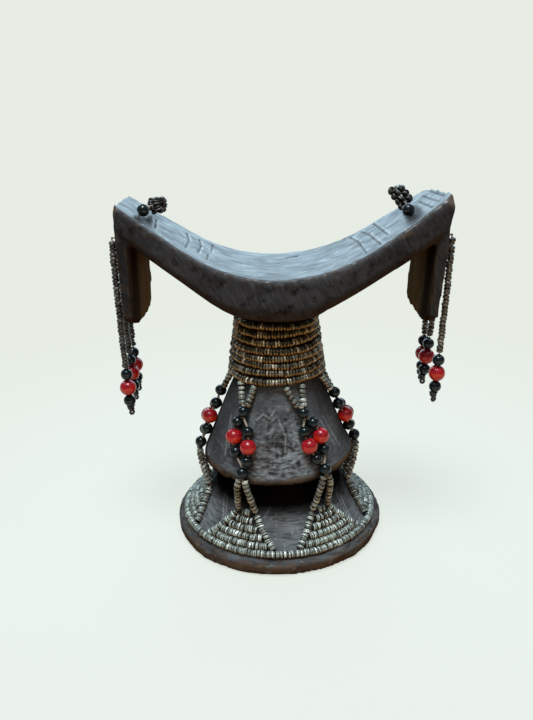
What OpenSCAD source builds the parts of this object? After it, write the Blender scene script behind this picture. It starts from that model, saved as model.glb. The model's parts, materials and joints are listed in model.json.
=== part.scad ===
// Carved wooden headrest with a strung bead collar, a bead net and hanging bead strands.
// Millimetres, +Z up. The base stands on z = 0 and the neck's axis is the Z axis.
// The two arms of the cradle reach along X, and -Y is the front.

/* [Foot] */
// Diameter of the round base
base_d = 110; // [104:1:120]
// Height of the upright rim of the base
rim_h = 6; // [5:0.5:8]
// Width of the shoulder inside the rim, where the lowest beads lie
shoulder_w = 5.5; // [4.5:0.5:7]
// Diameter of the lower bell where it goes in under the skirt
waist_d = 54; // [50:1:58]

/* [Skirt] */
// Diameter of the lip at the foot of the skirt
lip_d = 79.5; // [76:0.5:84]
// Height of the lip's lower edge
lip_z = 41.5; // [40:0.5:44]
// Thickness of the lip's edge
lip_t = 3.5; // [3:0.5:4.5]

/* [Neck] */
// Height at which the skirt runs into the neck
neck_z = 88; // [86:0.5:89]
// Diameter of the neck at its foot
neck_d = 43; // [39:0.5:44]
// Diameter of the neck under the cradle
neck_top_d = 30.5; // [29:0.5:36]

/* [Cradle] */
// Height of the lowest point of the cradle
cradle_z = 144; // [141:0.1:150]
// Radius of the hollow on the left of the neck
left_r = 76; // [66:1:86]
// Radius of the hollow on the right of the neck
right_r = 88; // [76:1:98]
// Rise of the straight ends of the arms, in degrees
arm_slope = 33.2; // [31:0.1:35]
// Thickness of the wood over the neck, measured upright
mid_t = 19.5; // [18:0.5:21]
// Thickness of the arms at the lugs, measured upright
arm_t = 16.5; // [14:0.5:18]
// Distance from the neck's axis at which the left arm's underside starts to rise
left_root = 24; // [20:0.5:26]
// Distance from the neck's axis at which the right arm's underside starts to rise
right_root = 20.5; // [17:0.5:24]
// Reach of the left arm from the neck's axis
left_reach = 75; // [70:1:82]
// Reach of the right arm from the neck's axis
right_reach = 81; // [70:1:86]
// Depth of the cradle over the neck
mid_depth = 56; // [48:1:64]
// Depth of the left arm's end
left_end_depth = 33; // [30:1:40]
// Depth of the right arm's end
right_end_depth = 41; // [32:1:44]
// How late the left arm narrows: 1 is a straight taper
left_taper = 1.15; // [1:0.05:2]
// How late the right arm narrows: 1 is a straight taper
right_taper = 3.5; // [1:0.1:4]

/* [Lugs] */
// Height of the tips of the hanging lugs
lug_z = 116.5; // [112:0.5:122]
// Thickness of a lug at its front edge
lug_front_t = 6; // [5:0.5:8]
// Thickness of the left lug at its back edge
left_back_t = 9; // [7:0.5:10]
// Thickness of the right lug at its back edge
right_back_t = 6; // [5.5:0.5:8]
// How much thinner a lug is at its tip
lug_thin = 2; // [1:0.5:3]
// How far the left lug leans in at its tip
left_lean = 1.2; // [1:0.2:4]
// How far the right lug leans in at its tip
right_lean = 4; // [1:0.2:5]
// How much nearer to the neck the left lug's outer face lies at its back edge
left_skew = 1.5; // [0:0.5:4]
// How much nearer to the neck the right lug's outer face lies at its back edge
right_skew = 5; // [0:0.5:5]

/* [Beads] */
// Diameter of a seed bead
seed_d = 3.7; // [3.4:0.05:3.9]
// Length of a seed bead along its thread
seed_l = 1.65; // [1.5:0.05:1.75]
// Diameter of a black glass bead
black_d = 6; // [5.6:0.1:6.2]
// Diameter of a red glass bead
red_d = 8; // [7.6:0.1:8.2]
// Diameter of the thread
thread_d = 0.7; // [0.5:0.05:0.75]

/* [Collar] */
// Rows of beads around the neck
collar_rows = 8; // [6:1:8]
// Height of the uppermost row
collar_z = 118.4; // [118:0.1:120]

/* [Net] */
// Height on the skirt of the uppermost black bead
net_z = 75; // [74.5:0.1:76.5]
// Turn of the front right column from the front, in degrees
net_turn = 35; // [0:1:60]
// Twist of the columns towards the collar, in degrees per millimetre
net_twist = 0.34; // [0:0.01:0.4]
// Half spread of the strings at the collar, in degrees
net_spread = 10.7; // [9:0.1:13]

/* [Panels] */
// Rows of beads in a panel above the hem
panel_rows = 5; // [4:1:6]
// Half width of a panel at the hem, in degrees
panel_foot = 24.5; // [22:0.5:26]
// Half width of a panel at its top, in degrees
panel_head = 7.5; // [7:0.5:13]

/* [Hanging strands] */
// Height of the holes that the strands hang from
hang_z = 162; // [160:0.5:163]
// Distance from the neck's axis of the left arm's well, where its threads come up
left_well = 64; // [62:0.5:67]
// Distance from the neck's axis of the right arm's well, where its threads come up
right_well = 65; // [62:0.5:70]
// Distance from the well to the black bead in front of it
stop_front = 6.5; // [6:0.1:7.5]
// Distance from the well to the bead loop behind it
stop_back = 9.5; // [8:0.1:11]
// Seed beads on each left strand, front to back
left_beads = [35, 34, 34];
// Seed beads on each right strand, front to back
right_beads = [31, 30, 32];
// Room between the upper strand and its glass beads
link_gap = 0.4; // [0.3:0.1:0.8]

/* [Clearances] */
// Room between neighbouring pieces
clear = 0.3; // [0.25:0.05:0.4]
// Room between the beads on one thread
bead_gap = 0.2; // [0.15:0.05:0.25]

/* [Hidden] */
$fn = 48;
columns = 6;
seed_hole = thread_d + 0.6;
glass_hole = 2 * thread_d + 0.6;
pitch = seed_l + bead_gap;
row_step = seed_d + 0.15;
base_r = base_d / 2;
lip_r = lip_d / 2;
small = 0.02;
seed_bevel = 0.3;

// Vectors
function unit(v) = v / norm(v);
function wrap(a, r, z) = [r * sin(a), -r * cos(a), z];
function around(a) = [cos(a), sin(a), 0];
function total(v, i = 0) = i >= len(v) ? 0 : v[i] + total(v, i + 1);
function spans(p) = [for (i = [0:len(p) - 2]) norm(p[i + 1] - p[i])];
function step_at(l, d, i = 0) = i >= len(l) - 1 || d <= l[i] ? [i, d] : step_at(l, d - l[i], i + 1);
function heading(p, i) = unit(p[i + 1] - p[i]);
// A point and its direction at distance d along a line of points
function walk(p, d) = let (s = step_at(spans(p), d), i = s[0]) [p[i] + heading(p, i) * s[1], heading(p, i)];
function curve(a, b, c, t) = a * (1 - t) * (1 - t) + b * 2 * t * (1 - t) + c * t * t;

// Profile of the foot: a hollow bell from the shoulder in under the skirt
bell_a = [base_r - shoulder_w, rim_h + 1.8];
bell_c = [waist_d / 2, lip_z - 0.5];
bell_b = [bell_c[0] + 0.42 * (bell_a[0] - bell_c[0]), bell_a[1] + 0.28 * (bell_c[1] - bell_a[1])];
function bell(t) = curve(bell_a, bell_b, bell_c, t);
function bell_run(t) = (bell_b - bell_a) * (1 - t) + (bell_c - bell_b) * t;
function bell_out(t) = let (d = unit(bell_run(t))) [d[1], -d[0]];
function bell_off(t, h) = bell(t) + bell_out(t) * h;

// Profile of the skirt and the neck
skirt_a = [lip_r - 0.6, lip_z + lip_t + 0.7];
skirt_c = [neck_d / 2, neck_z];
skirt_run = unit(skirt_c - skirt_a);
skirt_out = [skirt_run[1], -skirt_run[0]];
neck_end_z = cradle_z - mid_t / 2;
function skirt_r(z) = skirt_a[0] + (z - skirt_a[1]) * skirt_run[0] / skirt_run[1];
function neck_r(z) = (neck_d + (neck_top_d - neck_d) * (z - neck_z) / (neck_end_z - neck_z)) / 2;

// Lines of the cradle: a rounded hollow that runs into two straight arms
function hollow_r(x) = x < 0 ? left_r : right_r;
function hollow_x(x) = hollow_r(x) * sin(arm_slope);
function hollow_z(x) = cradle_z + hollow_r(x) * (1 - cos(arm_slope));
function top_z(x) = abs(x) < hollow_x(x)
    ? cradle_z + hollow_r(x) - sqrt(hollow_r(x) * hollow_r(x) - x * x)
    : hollow_z(x) + (abs(x) - hollow_x(x)) * tan(arm_slope);
function reach(s) = s < 0 ? left_reach : right_reach;
function end_half(s) = (s < 0 ? left_end_depth : right_end_depth) / 2;
function skew(s) = s < 0 ? left_skew : right_skew;
function skew_turn(s) = atan(skew(s) / (2 * end_half(s)));
function face_x(s, y) = reach(s) - (y + end_half(s)) * tan(skew_turn(s));
function lean(s) = s < 0 ? left_lean : right_lean;
function taper(s) = s < 0 ? left_taper : right_taper;
function half_depth(x) =
    let (s = x < 0 ? -1 : 1, f = abs(x) / reach(s))
    mid_depth / 2 - (mid_depth / 2 - end_half(s)) * pow(f, taper(s));
function under_round(x) = 6.5 - 3 * abs(x) / max(left_reach, right_reach);
// Underside: level over the neck, then rising to the lugs
under_mid = cradle_z - mid_t;
under_soft = 5;
function root_x(s) = s < 0 ? left_root : right_root;
function back_t(s) = s < 0 ? left_back_t : right_back_t;
function lug_x(s) = reach(s) - back_t(s) - 7;
function under_rise(s) = (top_z(s * lug_x(s)) - arm_t - under_mid) / (lug_x(s) - root_x(s));
function under_z(x) =
    let (s = x < 0 ? -1 : 1, u = abs(x) - root_x(s))
    under_mid + under_rise(s) * (u + sqrt(u * u + under_soft * under_soft)) / 2;

// Ring of one slice through the cradle at x
function slice_half(x) =
    let (h = half_depth(x), t = top_z(x), b = under_z(x), r = under_round(x))
    [[h - 1.4, t], [h, t - 1.4], [h, b + r], [h - 0.3 * r, b + 0.3 * r], [h - r, b]];
function slice(x) =
    let (q = slice_half(x))
    concat([for (i = [0:4]) [x, q[i][0], q[i][1]]], [for (i = [4:-1:0]) [x, -q[i][0], q[i][1]]]);
arm_cuts = 12;
cradle_x = concat(
    [for (i = [0:arm_cuts]) -left_reach * (1 - i / arm_cuts)],
    [for (i = [1:arm_cuts]) right_reach * i / arm_cuts]);

// A closed solid through rings of n points
module loft(rings) {
    n = len(rings[0]);
    m = len(rings);
    pts = [for (r = rings) for (p = r) p];
    sides = [for (j = [0:m - 2]) for (i = [0:n - 1])
        for (t = [0:1])
            let (a = j * n + i, b = j * n + (i + 1) % n)
            t == 0 ? [a, b, b + n] : [a, b + n, a + n]];
    ends = [[for (i = [n - 1:-1:0]) i], [for (i = [0:n - 1]) (m - 1) * n + i]];
    polyhedron(pts, concat(sides, ends), convexity = 6);
}

// Rings of a thread along a line of points, with a radius for each point
sides_n = 6;
function run_at(p, i) = unit(p[min(i + 1, len(p) - 1)] - p[max(i - 1, 0)]);
function ring_at(p, r, ref, i) =
    let (t = run_at(p, i), n = unit(cross(t, ref)), b = cross(t, n))
    [for (k = [0:sides_n - 1]) p[i] + r[i] * (cos(k * 360 / sides_n) * n - sin(k * 360 / sides_n) * b)];
module thread(p, ref, r = []) {
    rr = len(r) > 0 ? r : [for (q = p) thread_d / 2];
    loft([for (i = [0:len(p) - 1]) ring_at(p, rr, ref, i)]);
}

// Beads, with the thread's hole along Z
module seed_bead() {
    r = seed_d / 2;
    h = seed_l / 2;
    c = seed_bevel;
    rotate_extrude()
        polygon([[seed_hole / 2, -h], [r - c, -h], [r, -h + c], [r, h - c], [r - c, h], [seed_hole / 2, h]]);
}
module glass_bead(d) {
    difference() {
        sphere(d = d);
        cylinder(d = glass_hole, h = d + 1, center = true);
    }
}
module aim(p, v) {
    translate(p)
        rotate([0, acos(v[2] / norm(v)), atan2(v[1], v[0])])
            children();
}
// Seed beads side by side along a line of points, from a to b, with some slack between them
module strung(p, a, b, slack = 0) {
    n = floor((b - a) / (pitch + slack));
    for (i = [0:n - 1]) {
        w = walk(p, a + (i + 0.5) * (b - a) / n);
        aim(w[0], w[1]) seed_bead();
    }
}

// The wood, carved from one block: foot, skirt and neck are turned about Z
module turned() {
    bell_n = 12;
    rotate_extrude()
        polygon(concat(
            [[0, 0], [base_r - 1, 0], [base_r, 1], [base_r, rim_h], [base_r - 1.6, rim_h + 1.4]],
            [for (i = [0:bell_n]) bell(i / bell_n)],
            [[lip_r - 0.5, lip_z], [lip_r, lip_z + 0.5], [lip_r, lip_z + lip_t], skirt_a, skirt_c],
            [[neck_r(neck_end_z), neck_end_z], [0, neck_end_z]]));
}
// Plan of a lug at height z: it leans in and thins towards its tip
lean_z = hang_z - 4;
function lug_ring(s, z) =
    let (h = end_half(s), f = max(0, (lean_z - z) / (lean_z - lug_z)), x = reach(s) - lean(s) * f, t = lug_thin * f)
    [for (q = [[x - lug_front_t + t, -h], [x + 3, -h], [x + 3, h], [x - skew(s) - back_t(s) + t, h],
        [x - skew(s) / 2 - back_t(s) * 0.8 + t, h * 0.12]])
        [s * q[0], q[1], z]];
module lug(s) {
    h = end_half(s);
    drop = 6.5;
    tip_r = (h * h + drop * drop) / (2 * drop);
    root_z = top_z(s * reach(s)) - 7;
    rings = [for (z = [lug_z - 2, lean_z, root_z]) lug_ring(s, z)];
    intersection() {
        loft(s < 0 ? rings : [for (i = [2:-1:0]) rings[i]]);
        rotate([90, 0, 90])
            linear_extrude(height = 300, center = true) {
                intersection() {
                    translate([-h - 1, lug_z]) square([2 * h + 2, tip_r]);
                    translate([0, lug_z + tip_r]) circle(r = tip_r, $fn = 96);
                }
                translate([-h - 1, lug_z + drop]) square([2 * h + 2, root_z - lug_z]);
            }
    }
}
// Outer faces: turned a little in plan, and leaning in below the thread holes
module end_cut(s) {
    h = end_half(s);
    translate([s * reach(s), -h, 0])
        rotate([0, 0, s * skew_turn(s)]) {
            translate([s > 0 ? 0 : -30, -20, lug_z - 10])
                cube([30, 100, 150]);
            translate([0, 0, lean_z])
                rotate([0, s * atan(lean(s) / (lean_z - lug_z)), 0])
                    translate([s > 0 ? 0 : -20, -20, -100])
                        cube([20, 100, 100]);
        }
}

// Where the strands leave the lugs, front to back
hang_f = [-0.75, 0.15, 0.85];
hang_out = seed_d / 2 + 0.45;
well_d = 4 * thread_d + 1;
hole_d = thread_d + 0.7;
function hang_y(s, j) = hang_f[j] * end_half(s);
function exit_p(s, j) = [s * face_x(s, hang_y(s, j)), hang_y(s, j), hang_z];
function hang_p(s, j) = exit_p(s, j) + [s * hang_out, 0, 0];
function well_x(s) = s < 0 ? left_well : right_well;
function well_p(s) = [s * well_x(s), 0, hang_z];

module thread_holes(s) {
    translate(well_p(s) + [0, 0, -1.2])
        cylinder(d = well_d, h = 40);
    for (j = [0:2]) {
        v = exit_p(s, j) - well_p(s);
        aim(well_p(s), v) cylinder(d = hole_d, h = norm(v) + 3);
    }
}

module carved_body() {
    color("#3a2f2a")
        difference() {
            union() {
                turned();
                loft([for (x = cradle_x) slice(x)]);
                lug(-1);
                lug(1);
            }
            end_cut(-1);
            end_cut(1);
            thread_holes(-1);
            thread_holes(1);
        }
}

// Collar: separate strung rows around the neck
function collar_row_z(i) = collar_z - (i - 1) * row_step;
function collar_row_r(i) = neck_r(collar_row_z(i) - seed_d / 2) + seed_d / 2 + clear;
collar_foot_z = collar_row_z(collar_rows);
module ring_of_beads(r, z, a0, a1) {
    n = floor((a1 - a0) * PI / 180 * r / pitch);
    for (i = [0:n - 1]) {
        a = a0 + (i + 0.5) * (a1 - a0) / n;
        aim(wrap(a, r, z), around(a)) seed_bead();
    }
}
module collar_row(i) {
    color("#75766a")
        ring_of_beads(collar_row_r(i), collar_row_z(i), i * 3, 360 + i * 3);
}
module collar_threads() {
    color("#c9b79a")
        for (i = [1:collar_rows])
            translate([0, 0, collar_row_z(i)])
                rotate_extrude()
                    translate([collar_row_r(i), 0])
                        circle(d = thread_d);
}

// Net: each column has two strings that spread at the collar, meet in a black bead,
// part into two staggered strands of glass beads, meet again and spread to a panel.
function column(k) = net_turn + (k - 1) * 360 / columns;
function twist(z) = -net_twist * max(0, z - lip_z - lip_t - 4);
// A point over the skirt: w across the column, s down the slope, h off the wood
function skirt_p(k, w, s, h) =
    let (z = net_z - s * skirt_run[1],
        q = [skirt_r(z), z] + skirt_out * h,
        a = column(k) + twist(z) + w / q[0] * 180 / PI)
    wrap(a, q[0], q[1]);
stagger = (black_d + red_d) / 2 + bead_gap + 0.05;
// Two strands: across, down and diameter of each bead; the first strand sits higher
head_1 = 0.98 * black_d;
head_2 = 1.55 * black_d;
strand_1 = [[-0.53 * black_d, head_1, black_d], [-0.56 * red_d, head_1 + stagger, red_d],
    [-0.64 * black_d, head_1 + 2 * stagger, black_d]];
strand_2 = [[0.5 * black_d, head_2, black_d], [0.48 * red_d, head_2 + stagger, red_d],
    [0.42 * black_d, head_2 + 2 * stagger, black_d]];
foot_s = head_2 + 2 * stagger + 1.02 * black_d;
// Columns lean to each side in turn
function side(k) = k % 2 == 1 ? -1 : 1;
function strand(k, m) = let (q = m == 0 ? strand_1 : strand_2, f = side(k)) [for (b = q) [b[0] * f, b[1], b[2]]];
function off(d) = d / 2 + clear;
function spot(k, b) = skirt_p(k, b[0], b[1], off(b[2]));
function head_spot(k, w, s) = skirt_p(k, w, s, off(black_d));
// Direction of each bead's hole, from the bead above to the bead below
function centres(k, m) = concat([head_spot(k, 0, 0)], [for (b = strand(k, m)) spot(k, b)], [head_spot(k, 0, foot_s)]);
function hole_run(k, m, i) = let (c = centres(k, m)) unit(c[i + 2] - c[i]);
function down_run(k, s) = unit(head_spot(k, 0, s + 0.5) - head_spot(k, 0, s - 0.5));
function across(k, s) = unit(head_spot(k, 0.5, s) - head_spot(k, -0.5, s));
knot_w = 0.6 * thread_d;
// Strand m lies on the side that its beads are on
function hand(k, m) = (m == 0 ? -1 : 1) * side(k);
function pass(k, s, e, f) = head_spot(k, 0, s) + down_run(k, s) * e + across(k, s) * f * knot_w;

// Upper string, from under the collar to the side of the first black bead
upper_n = 7;
string_w = seed_d / 2 + bead_gap;
function upper_to(k, f) = skirt_p(k, f * string_w, -black_d / 2 - 1.3, off(seed_d));
function upper_from(k, f) =
    let (r = collar_row_r(collar_rows) - 0.3, z = collar_foot_z - seed_d / 2 - 0.9,
        a = column(k) + twist(z) + f * net_spread)
    wrap(a, r + 0.4, z);

// Panels lie on the bell; this line runs over it at the height of the beads' holes
path_n = 28;
bell_line = [for (i = [0:path_n]) bell_off(0.72 * i / path_n, off(seed_d))];
function over_bell(s) = walk(bell_line, s)[0];
hem_q = bell_line[0];
panel_top_s = panel_rows * row_step + 0.6;
function panel_a(s) = panel_foot + (panel_head - panel_foot) * s / panel_top_s;
function edge_p(k, f, s) = let (q = over_bell(s)) wrap(column(k) + f * panel_a(s), q[0], q[1]);
// How far an edge string at radius r leans over, and where its last bead clears the hem
function edge_lean(r) = atan((panel_foot - panel_head) * PI / 180 * r / panel_top_s);
function edge_half(r) = seed_l / 2 * cos(edge_lean(r)) + seed_d / 2 * sin(edge_lean(r));
edge_foot_s = seed_d / 2 + edge_half(hem_q[0]) + clear;
edge_n = 9;
function edge_path(k, f) = [for (i = [0:edge_n])
    edge_p(k, f, panel_top_s + (edge_foot_s - panel_top_s) * i / edge_n)];

// Lower string, from under the last black bead out over the lip and down to the panel
lower_n = 12;
function lower_from(k, f) = skirt_p(k, f * string_w, foot_s + black_d / 2 + 1.3, off(seed_d) + 0.2);
function lower_mid(k, f) =
    let (a = lower_from(k, f), c = edge_path(k, f)[0], m = a * 0.8 + c * 0.2, g = atan2(m[0], -m[1]))
    wrap(g, lip_r + seed_d / 2 + 2.2, lip_z + 0.5);
function lower_path(k, f) = [for (i = [0:lower_n])
    curve(lower_from(k, f), lower_mid(k, f), edge_path(k, f)[0], i / lower_n)];

// The whole line of one thread of a column
function thread_line(k, m) =
    let (f = hand(k, m), b = strand(k, m))
    concat(
        [upper_from(k, f), upper_to(k, f)],
        [pass(k, 0, -black_d / 2, f), pass(k, 0, black_d / 2, f)],
        [for (i = [0:2]) for (e = [-1, 1]) spot(k, b[i]) + hole_run(k, m, i) * e * (b[i][2] / 2 + 0.1)],
        [pass(k, foot_s, -black_d / 2, f), pass(k, foot_s, black_d / 2, f)],
        lower_path(k, f),
        [for (i = [1:edge_n]) edge_path(k, f)[i]]);

module net_seeds(k) {
    color("#75766a")
        for (f = [-1, 1]) {
            u = [upper_from(k, f), upper_to(k, f)];
            strung(u, 0, norm(u[1] - u[0]));
            l = lower_path(k, f);
            strung(l, 0, total(spans(l)) - 1.1, 0.25);
        }
}
module net_black_beads() {
    color("#17161a")
        for (k = [1:columns]) {
            for (s = [0, foot_s])
                aim(head_spot(k, 0, s), down_run(k, s)) glass_bead(black_d);
            for (m = [0, 1])
                for (i = [0, 2])
                    aim(spot(k, strand(k, m)[i]), hole_run(k, m, i)) glass_bead(black_d);
        }
}
module net_red_beads() {
    color("#9c1f1c")
        for (k = [1:columns])
            for (m = [0, 1])
                aim(spot(k, strand(k, m)[1]), hole_run(k, m, 1)) glass_bead(red_d);
}
module net_threads() {
    color("#c9b79a")
        for (k = [1:columns])
            for (m = [0, 1])
                thread(thread_line(k, m), around(column(k)));
}

// Panels: short rows between two edge strings, above one hem that runs right round
function row_q(i) = over_bell(i * row_step);
// Room that a row leaves beside the leaning edge strings
function edge_room(r) = seed_d / 2 * (1 / cos(edge_lean(r)) + tan(edge_lean(r))) + clear / 2;
function row_half(i) = panel_a(i * row_step) - edge_room(row_q(i)[0]) / row_q(i)[0] * 180 / PI;
module panel(k) {
    color("#75766a") {
        ring_of_beads(hem_q[0], hem_q[1], column(k) - 180 / columns, column(k) + 180 / columns);
        for (i = [1:panel_rows])
            ring_of_beads(row_q(i)[0], row_q(i)[1], column(k) - row_half(i), column(k) + row_half(i));
        for (f = [-1, 1]) {
            e = edge_path(k, f);
            strung(e, 1.1, total(spans(e)) + seed_l / 2 - 0.1, 0.1);
        }
    }
}
module row_thread(q, a0, a1) {
    rotate([0, 0, a0 - 90])
        translate([0, 0, q[1]])
            rotate_extrude(angle = a1 - a0)
                translate([q[0], 0])
                    circle(d = thread_d);
}
module panel_threads() {
    color("#c9b79a") {
        translate([0, 0, hem_q[1]])
            rotate_extrude()
                translate([hem_q[0], 0])
                    circle(d = thread_d);
        for (k = [1:columns])
            for (i = [1:panel_rows])
                row_thread(row_q(i), column(k) - row_half(i), column(k) + row_half(i));
    }
}

// Stops on top of the arms: a black bead in front of the well, and a loop of seed beads that stands behind it
function arm_lean(s) = -s * arm_slope;
stop_n = 9;
stop_r = seed_d / 2 - seed_bevel + (seed_l + bead_gap) / 2 / tan(180 / stop_n);
function arm_p(s, y, h) = [s * (well_x(s) - h * sin(arm_slope)), y, top_z(s * well_x(s)) + h * cos(arm_slope)];
module on_arm(s, y, h) {
    translate(arm_p(s, y, h))
        rotate([0, arm_lean(s), 0])
            children();
}
module stop_seeds() {
    color("#75766a")
        for (s = [-1, 1])
            on_arm(s, stop_back, stop_r + off(seed_d))
                rotate([90, 0, 0])
                    for (i = [0:stop_n - 1])
                        rotate([0, 0, i * 360 / stop_n])
                            translate([stop_r, 0, 0])
                                rotate([90, 0, 0]) seed_bead();
}
module stop_black_beads() {
    color("#17161a")
        for (s = [-1, 1])
            on_arm(s, -stop_front, off(black_d))
                rotate([90, 0, 0]) glass_bead(black_d);
}
// Threads from the stop down the well and out through the lug's holes, each with an end loop
function stop_head(s, j) =
    j == 0 ? [arm_p(s, -stop_front - black_d / 2 - 0.4, off(black_d)), arm_p(s, -stop_front + black_d / 2, off(black_d)),
        arm_p(s, -1.6, 1.6)]
    : j == 2 ? [arm_p(s, stop_back - seed_d / 2 - 0.25, off(seed_d)), arm_p(s, 2.4, 1.3)]
    : [];
function stop_line(s, j) =
    let (w = well_p(s), o = [s * -0.6 * (j == 1 ? 1 : 0), (j - 1) * (thread_d + 0.25), 0], e = hang_p(s, j),
        x = exit_p(s, j), u = unit(x - w))
    concat(
        stop_head(s, j),
        [w + o + [0, 0, top_z(s * well_x(s)) - hang_z + 0.2], w + o + [0, 0, 2.2]],
        [w + u * 1.4 + [0, 0, 0.12], x - u * 0.6],
        [for (d = [-0.55, -0.3, 0, 0.3, 0.5]) e + [s * d, 0, 0]]);
loop_radii = [1, 1.5, 1.75, 1.5, 0.8] * thread_d / 2;
function stop_radii(s, j) = concat([for (i = [0:len(stop_head(s, j)) + 3]) thread_d / 2], loop_radii);
module stop_threads() {
    color("#c9b79a")
        for (s = [-1, 1]) {
            for (j = [0:2]) {
                v = exit_p(s, j) - well_p(s);
                thread(stop_line(s, j), unit(cross([0, 0, 1], [v[0], v[1], 0])), stop_radii(s, j));
            }
            on_arm(s, stop_back, stop_r + off(seed_d))
                rotate([90, 0, 0])
                    rotate_extrude($fn = 36)
                        translate([stop_r, 0])
                            circle(d = thread_d, $fn = 8);
        }
}

// Hanging strands: seed beads above, and black, red, black and a knot on a second link
function beads_on(s, j) = s < 0 ? left_beads[j] : right_beads[j];
strand_top = 1.75 * thread_d / 2 + clear;
function strand_len(s, j) = 0.6 + beads_on(s, j) * pitch;
function link_z(s, j) = hang_z - strand_top - strand_len(s, j) - link_gap;
module hang_seeds(s, j) {
    color("#75766a")
        translate(hang_p(s, j) - [0, 0, strand_top + 0.6])
            for (i = [0:beads_on(s, j) - 1])
                translate([0, 0, -(i + 0.5) * pitch]) seed_bead();
}
module hang_thread(s, j) {
    color("#c9b79a")
        translate(hang_p(s, j) - [0, 0, strand_top + strand_len(s, j)])
            cylinder(d = thread_d, h = strand_len(s, j));
}
drop_black = [black_d / 2 + 0.5, 1.5 * black_d + red_d + 2 * bead_gap + 0.5];
drop_red = black_d + bead_gap + red_d / 2 + 0.5;
drop_end = 2 * black_d + red_d + 3 * bead_gap + 0.5;
module drop_black_beads(s, j) {
    color("#17161a")
        for (d = drop_black)
            translate([hang_p(s, j)[0], hang_p(s, j)[1], link_z(s, j) - d]) glass_bead(black_d);
}
module drop_red_bead(s, j) {
    color("#9c1f1c")
        translate([hang_p(s, j)[0], hang_p(s, j)[1], link_z(s, j) - drop_red]) glass_bead(red_d);
}
module drop_thread(s, j) {
    knot_d = seed_d * 0.62;
    color("#c9b79a")
        translate([hang_p(s, j)[0], hang_p(s, j)[1], link_z(s, j) - drop_end - knot_d / 2])
            rotate_extrude()
                polygon(concat(
                    [[0, -knot_d * 0.5 - 3], [thread_d / 2, -knot_d * 0.5 - 3], [thread_d / 2, -knot_d * 0.42]],
                    [for (a = [-50:20:50]) [knot_d / 2 * cos(a), knot_d / 2 * sin(a)]],
                    [[thread_d / 2, knot_d * 0.42], [thread_d / 2, drop_end + knot_d / 2], [0, drop_end + knot_d / 2]]));
}

ends = ["left", "right"];
places = ["front", "middle", "back"];
function hang_name(e, j, part) = str(ends[e], "_", places[j], "_", part);
hang_parts = ["seeds", "thread", "drop_black", "drop_red", "drop_thread"];

carved_body();
for (i = [1:collar_rows]) collar_row(i);
collar_threads();
for (k = [1:columns]) net_seeds(k);
net_black_beads();
net_red_beads();
net_threads();
for (k = [1:columns]) panel(k);
panel_threads();
stop_seeds();
stop_black_beads();
stop_threads();
for (e = [0, 1]) for (j = [0:2]) hang_seeds(2 * e - 1, j);
for (e = [0, 1]) for (j = [0:2]) hang_thread(2 * e - 1, j);
for (e = [0, 1]) for (j = [0:2]) drop_black_beads(2 * e - 1, j);
for (e = [0, 1]) for (j = [0:2]) drop_red_bead(2 * e - 1, j);
for (e = [0, 1]) for (j = [0:2]) drop_thread(2 * e - 1, j);
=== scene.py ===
import json
import math

import bmesh
import bpy
import numpy as np
from mathutils import Matrix, Vector


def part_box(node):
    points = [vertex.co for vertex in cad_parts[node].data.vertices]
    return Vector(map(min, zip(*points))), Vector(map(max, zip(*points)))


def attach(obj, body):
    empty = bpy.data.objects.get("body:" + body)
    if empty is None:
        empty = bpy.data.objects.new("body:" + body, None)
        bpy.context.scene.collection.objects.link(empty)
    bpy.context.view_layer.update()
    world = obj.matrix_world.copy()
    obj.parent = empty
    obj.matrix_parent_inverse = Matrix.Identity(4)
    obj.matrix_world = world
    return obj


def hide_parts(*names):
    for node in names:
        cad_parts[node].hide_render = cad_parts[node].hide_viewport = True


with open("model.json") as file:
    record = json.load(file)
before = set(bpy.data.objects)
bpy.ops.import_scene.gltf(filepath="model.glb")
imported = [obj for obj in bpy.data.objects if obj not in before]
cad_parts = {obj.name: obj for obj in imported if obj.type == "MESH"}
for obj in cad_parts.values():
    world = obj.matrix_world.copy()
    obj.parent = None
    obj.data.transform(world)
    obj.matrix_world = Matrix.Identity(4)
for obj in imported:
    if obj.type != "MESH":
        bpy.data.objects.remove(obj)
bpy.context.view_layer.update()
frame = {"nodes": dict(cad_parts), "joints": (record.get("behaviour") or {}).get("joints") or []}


# Camera: the headrest stands on a table and is seen from the front and a little above.
# The lens is worked out from the bead sizes and the lean of the upright lines.
MM = 0.001
scene = bpy.context.scene
scene.view_settings.view_transform = "Standard"
eye = Vector((5.5, -375.3, 244.6)) * MM
down, aside, lean = math.radians(21.87), math.radians(-1.65), math.radians(-1.19)
ahead = Vector((math.sin(aside) * math.cos(down), math.cos(aside) * math.cos(down), -math.sin(down)))
level = Vector((math.cos(aside), -math.sin(aside), 0))
over = level.cross(ahead)
across = math.cos(lean) * level + math.sin(lean) * over
upward = -math.sin(lean) * level + math.cos(lean) * over
film_height, focal_pixels, picture_pixels = 36, 780, 720
camera_data = bpy.data.cameras.new("camera")
camera_data.sensor_fit = "VERTICAL"
camera_data.sensor_height = film_height
camera_data.lens = film_height * focal_pixels / picture_pixels
camera_data.clip_start = 0.01


def stand(name, data):
    """An object of this name in the scene."""
    thing = bpy.data.objects.new(name, data)
    scene.collection.objects.link(thing)
    return thing


camera = stand("camera", camera_data)
camera.matrix_world = Matrix((
    (across.x, upward.x, -ahead.x, eye.x),
    (across.y, upward.y, -ahead.y, eye.y),
    (across.z, upward.z, -ahead.z, eye.z),
    (0, 0, 0, 1)))
scene.camera = camera


# Floor: plain and pale, out to the horizon, with the headrest's shadow fading off round the foot.
# It looks pale to the eye and in reflections, and throws little light up under the wood.
pale = (0.80, 0.845, 0.775, 1)
edge = 40
floor_mesh = bpy.data.meshes.new("floor")
floor_corners = [(-edge, -edge, 0), (edge, -edge, 0), (edge, edge, 0), (-edge, edge, 0)]
floor_mesh.from_pydata(floor_corners, [], [(0, 1, 2, 3)])
floor = stand("floor", floor_mesh)


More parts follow.
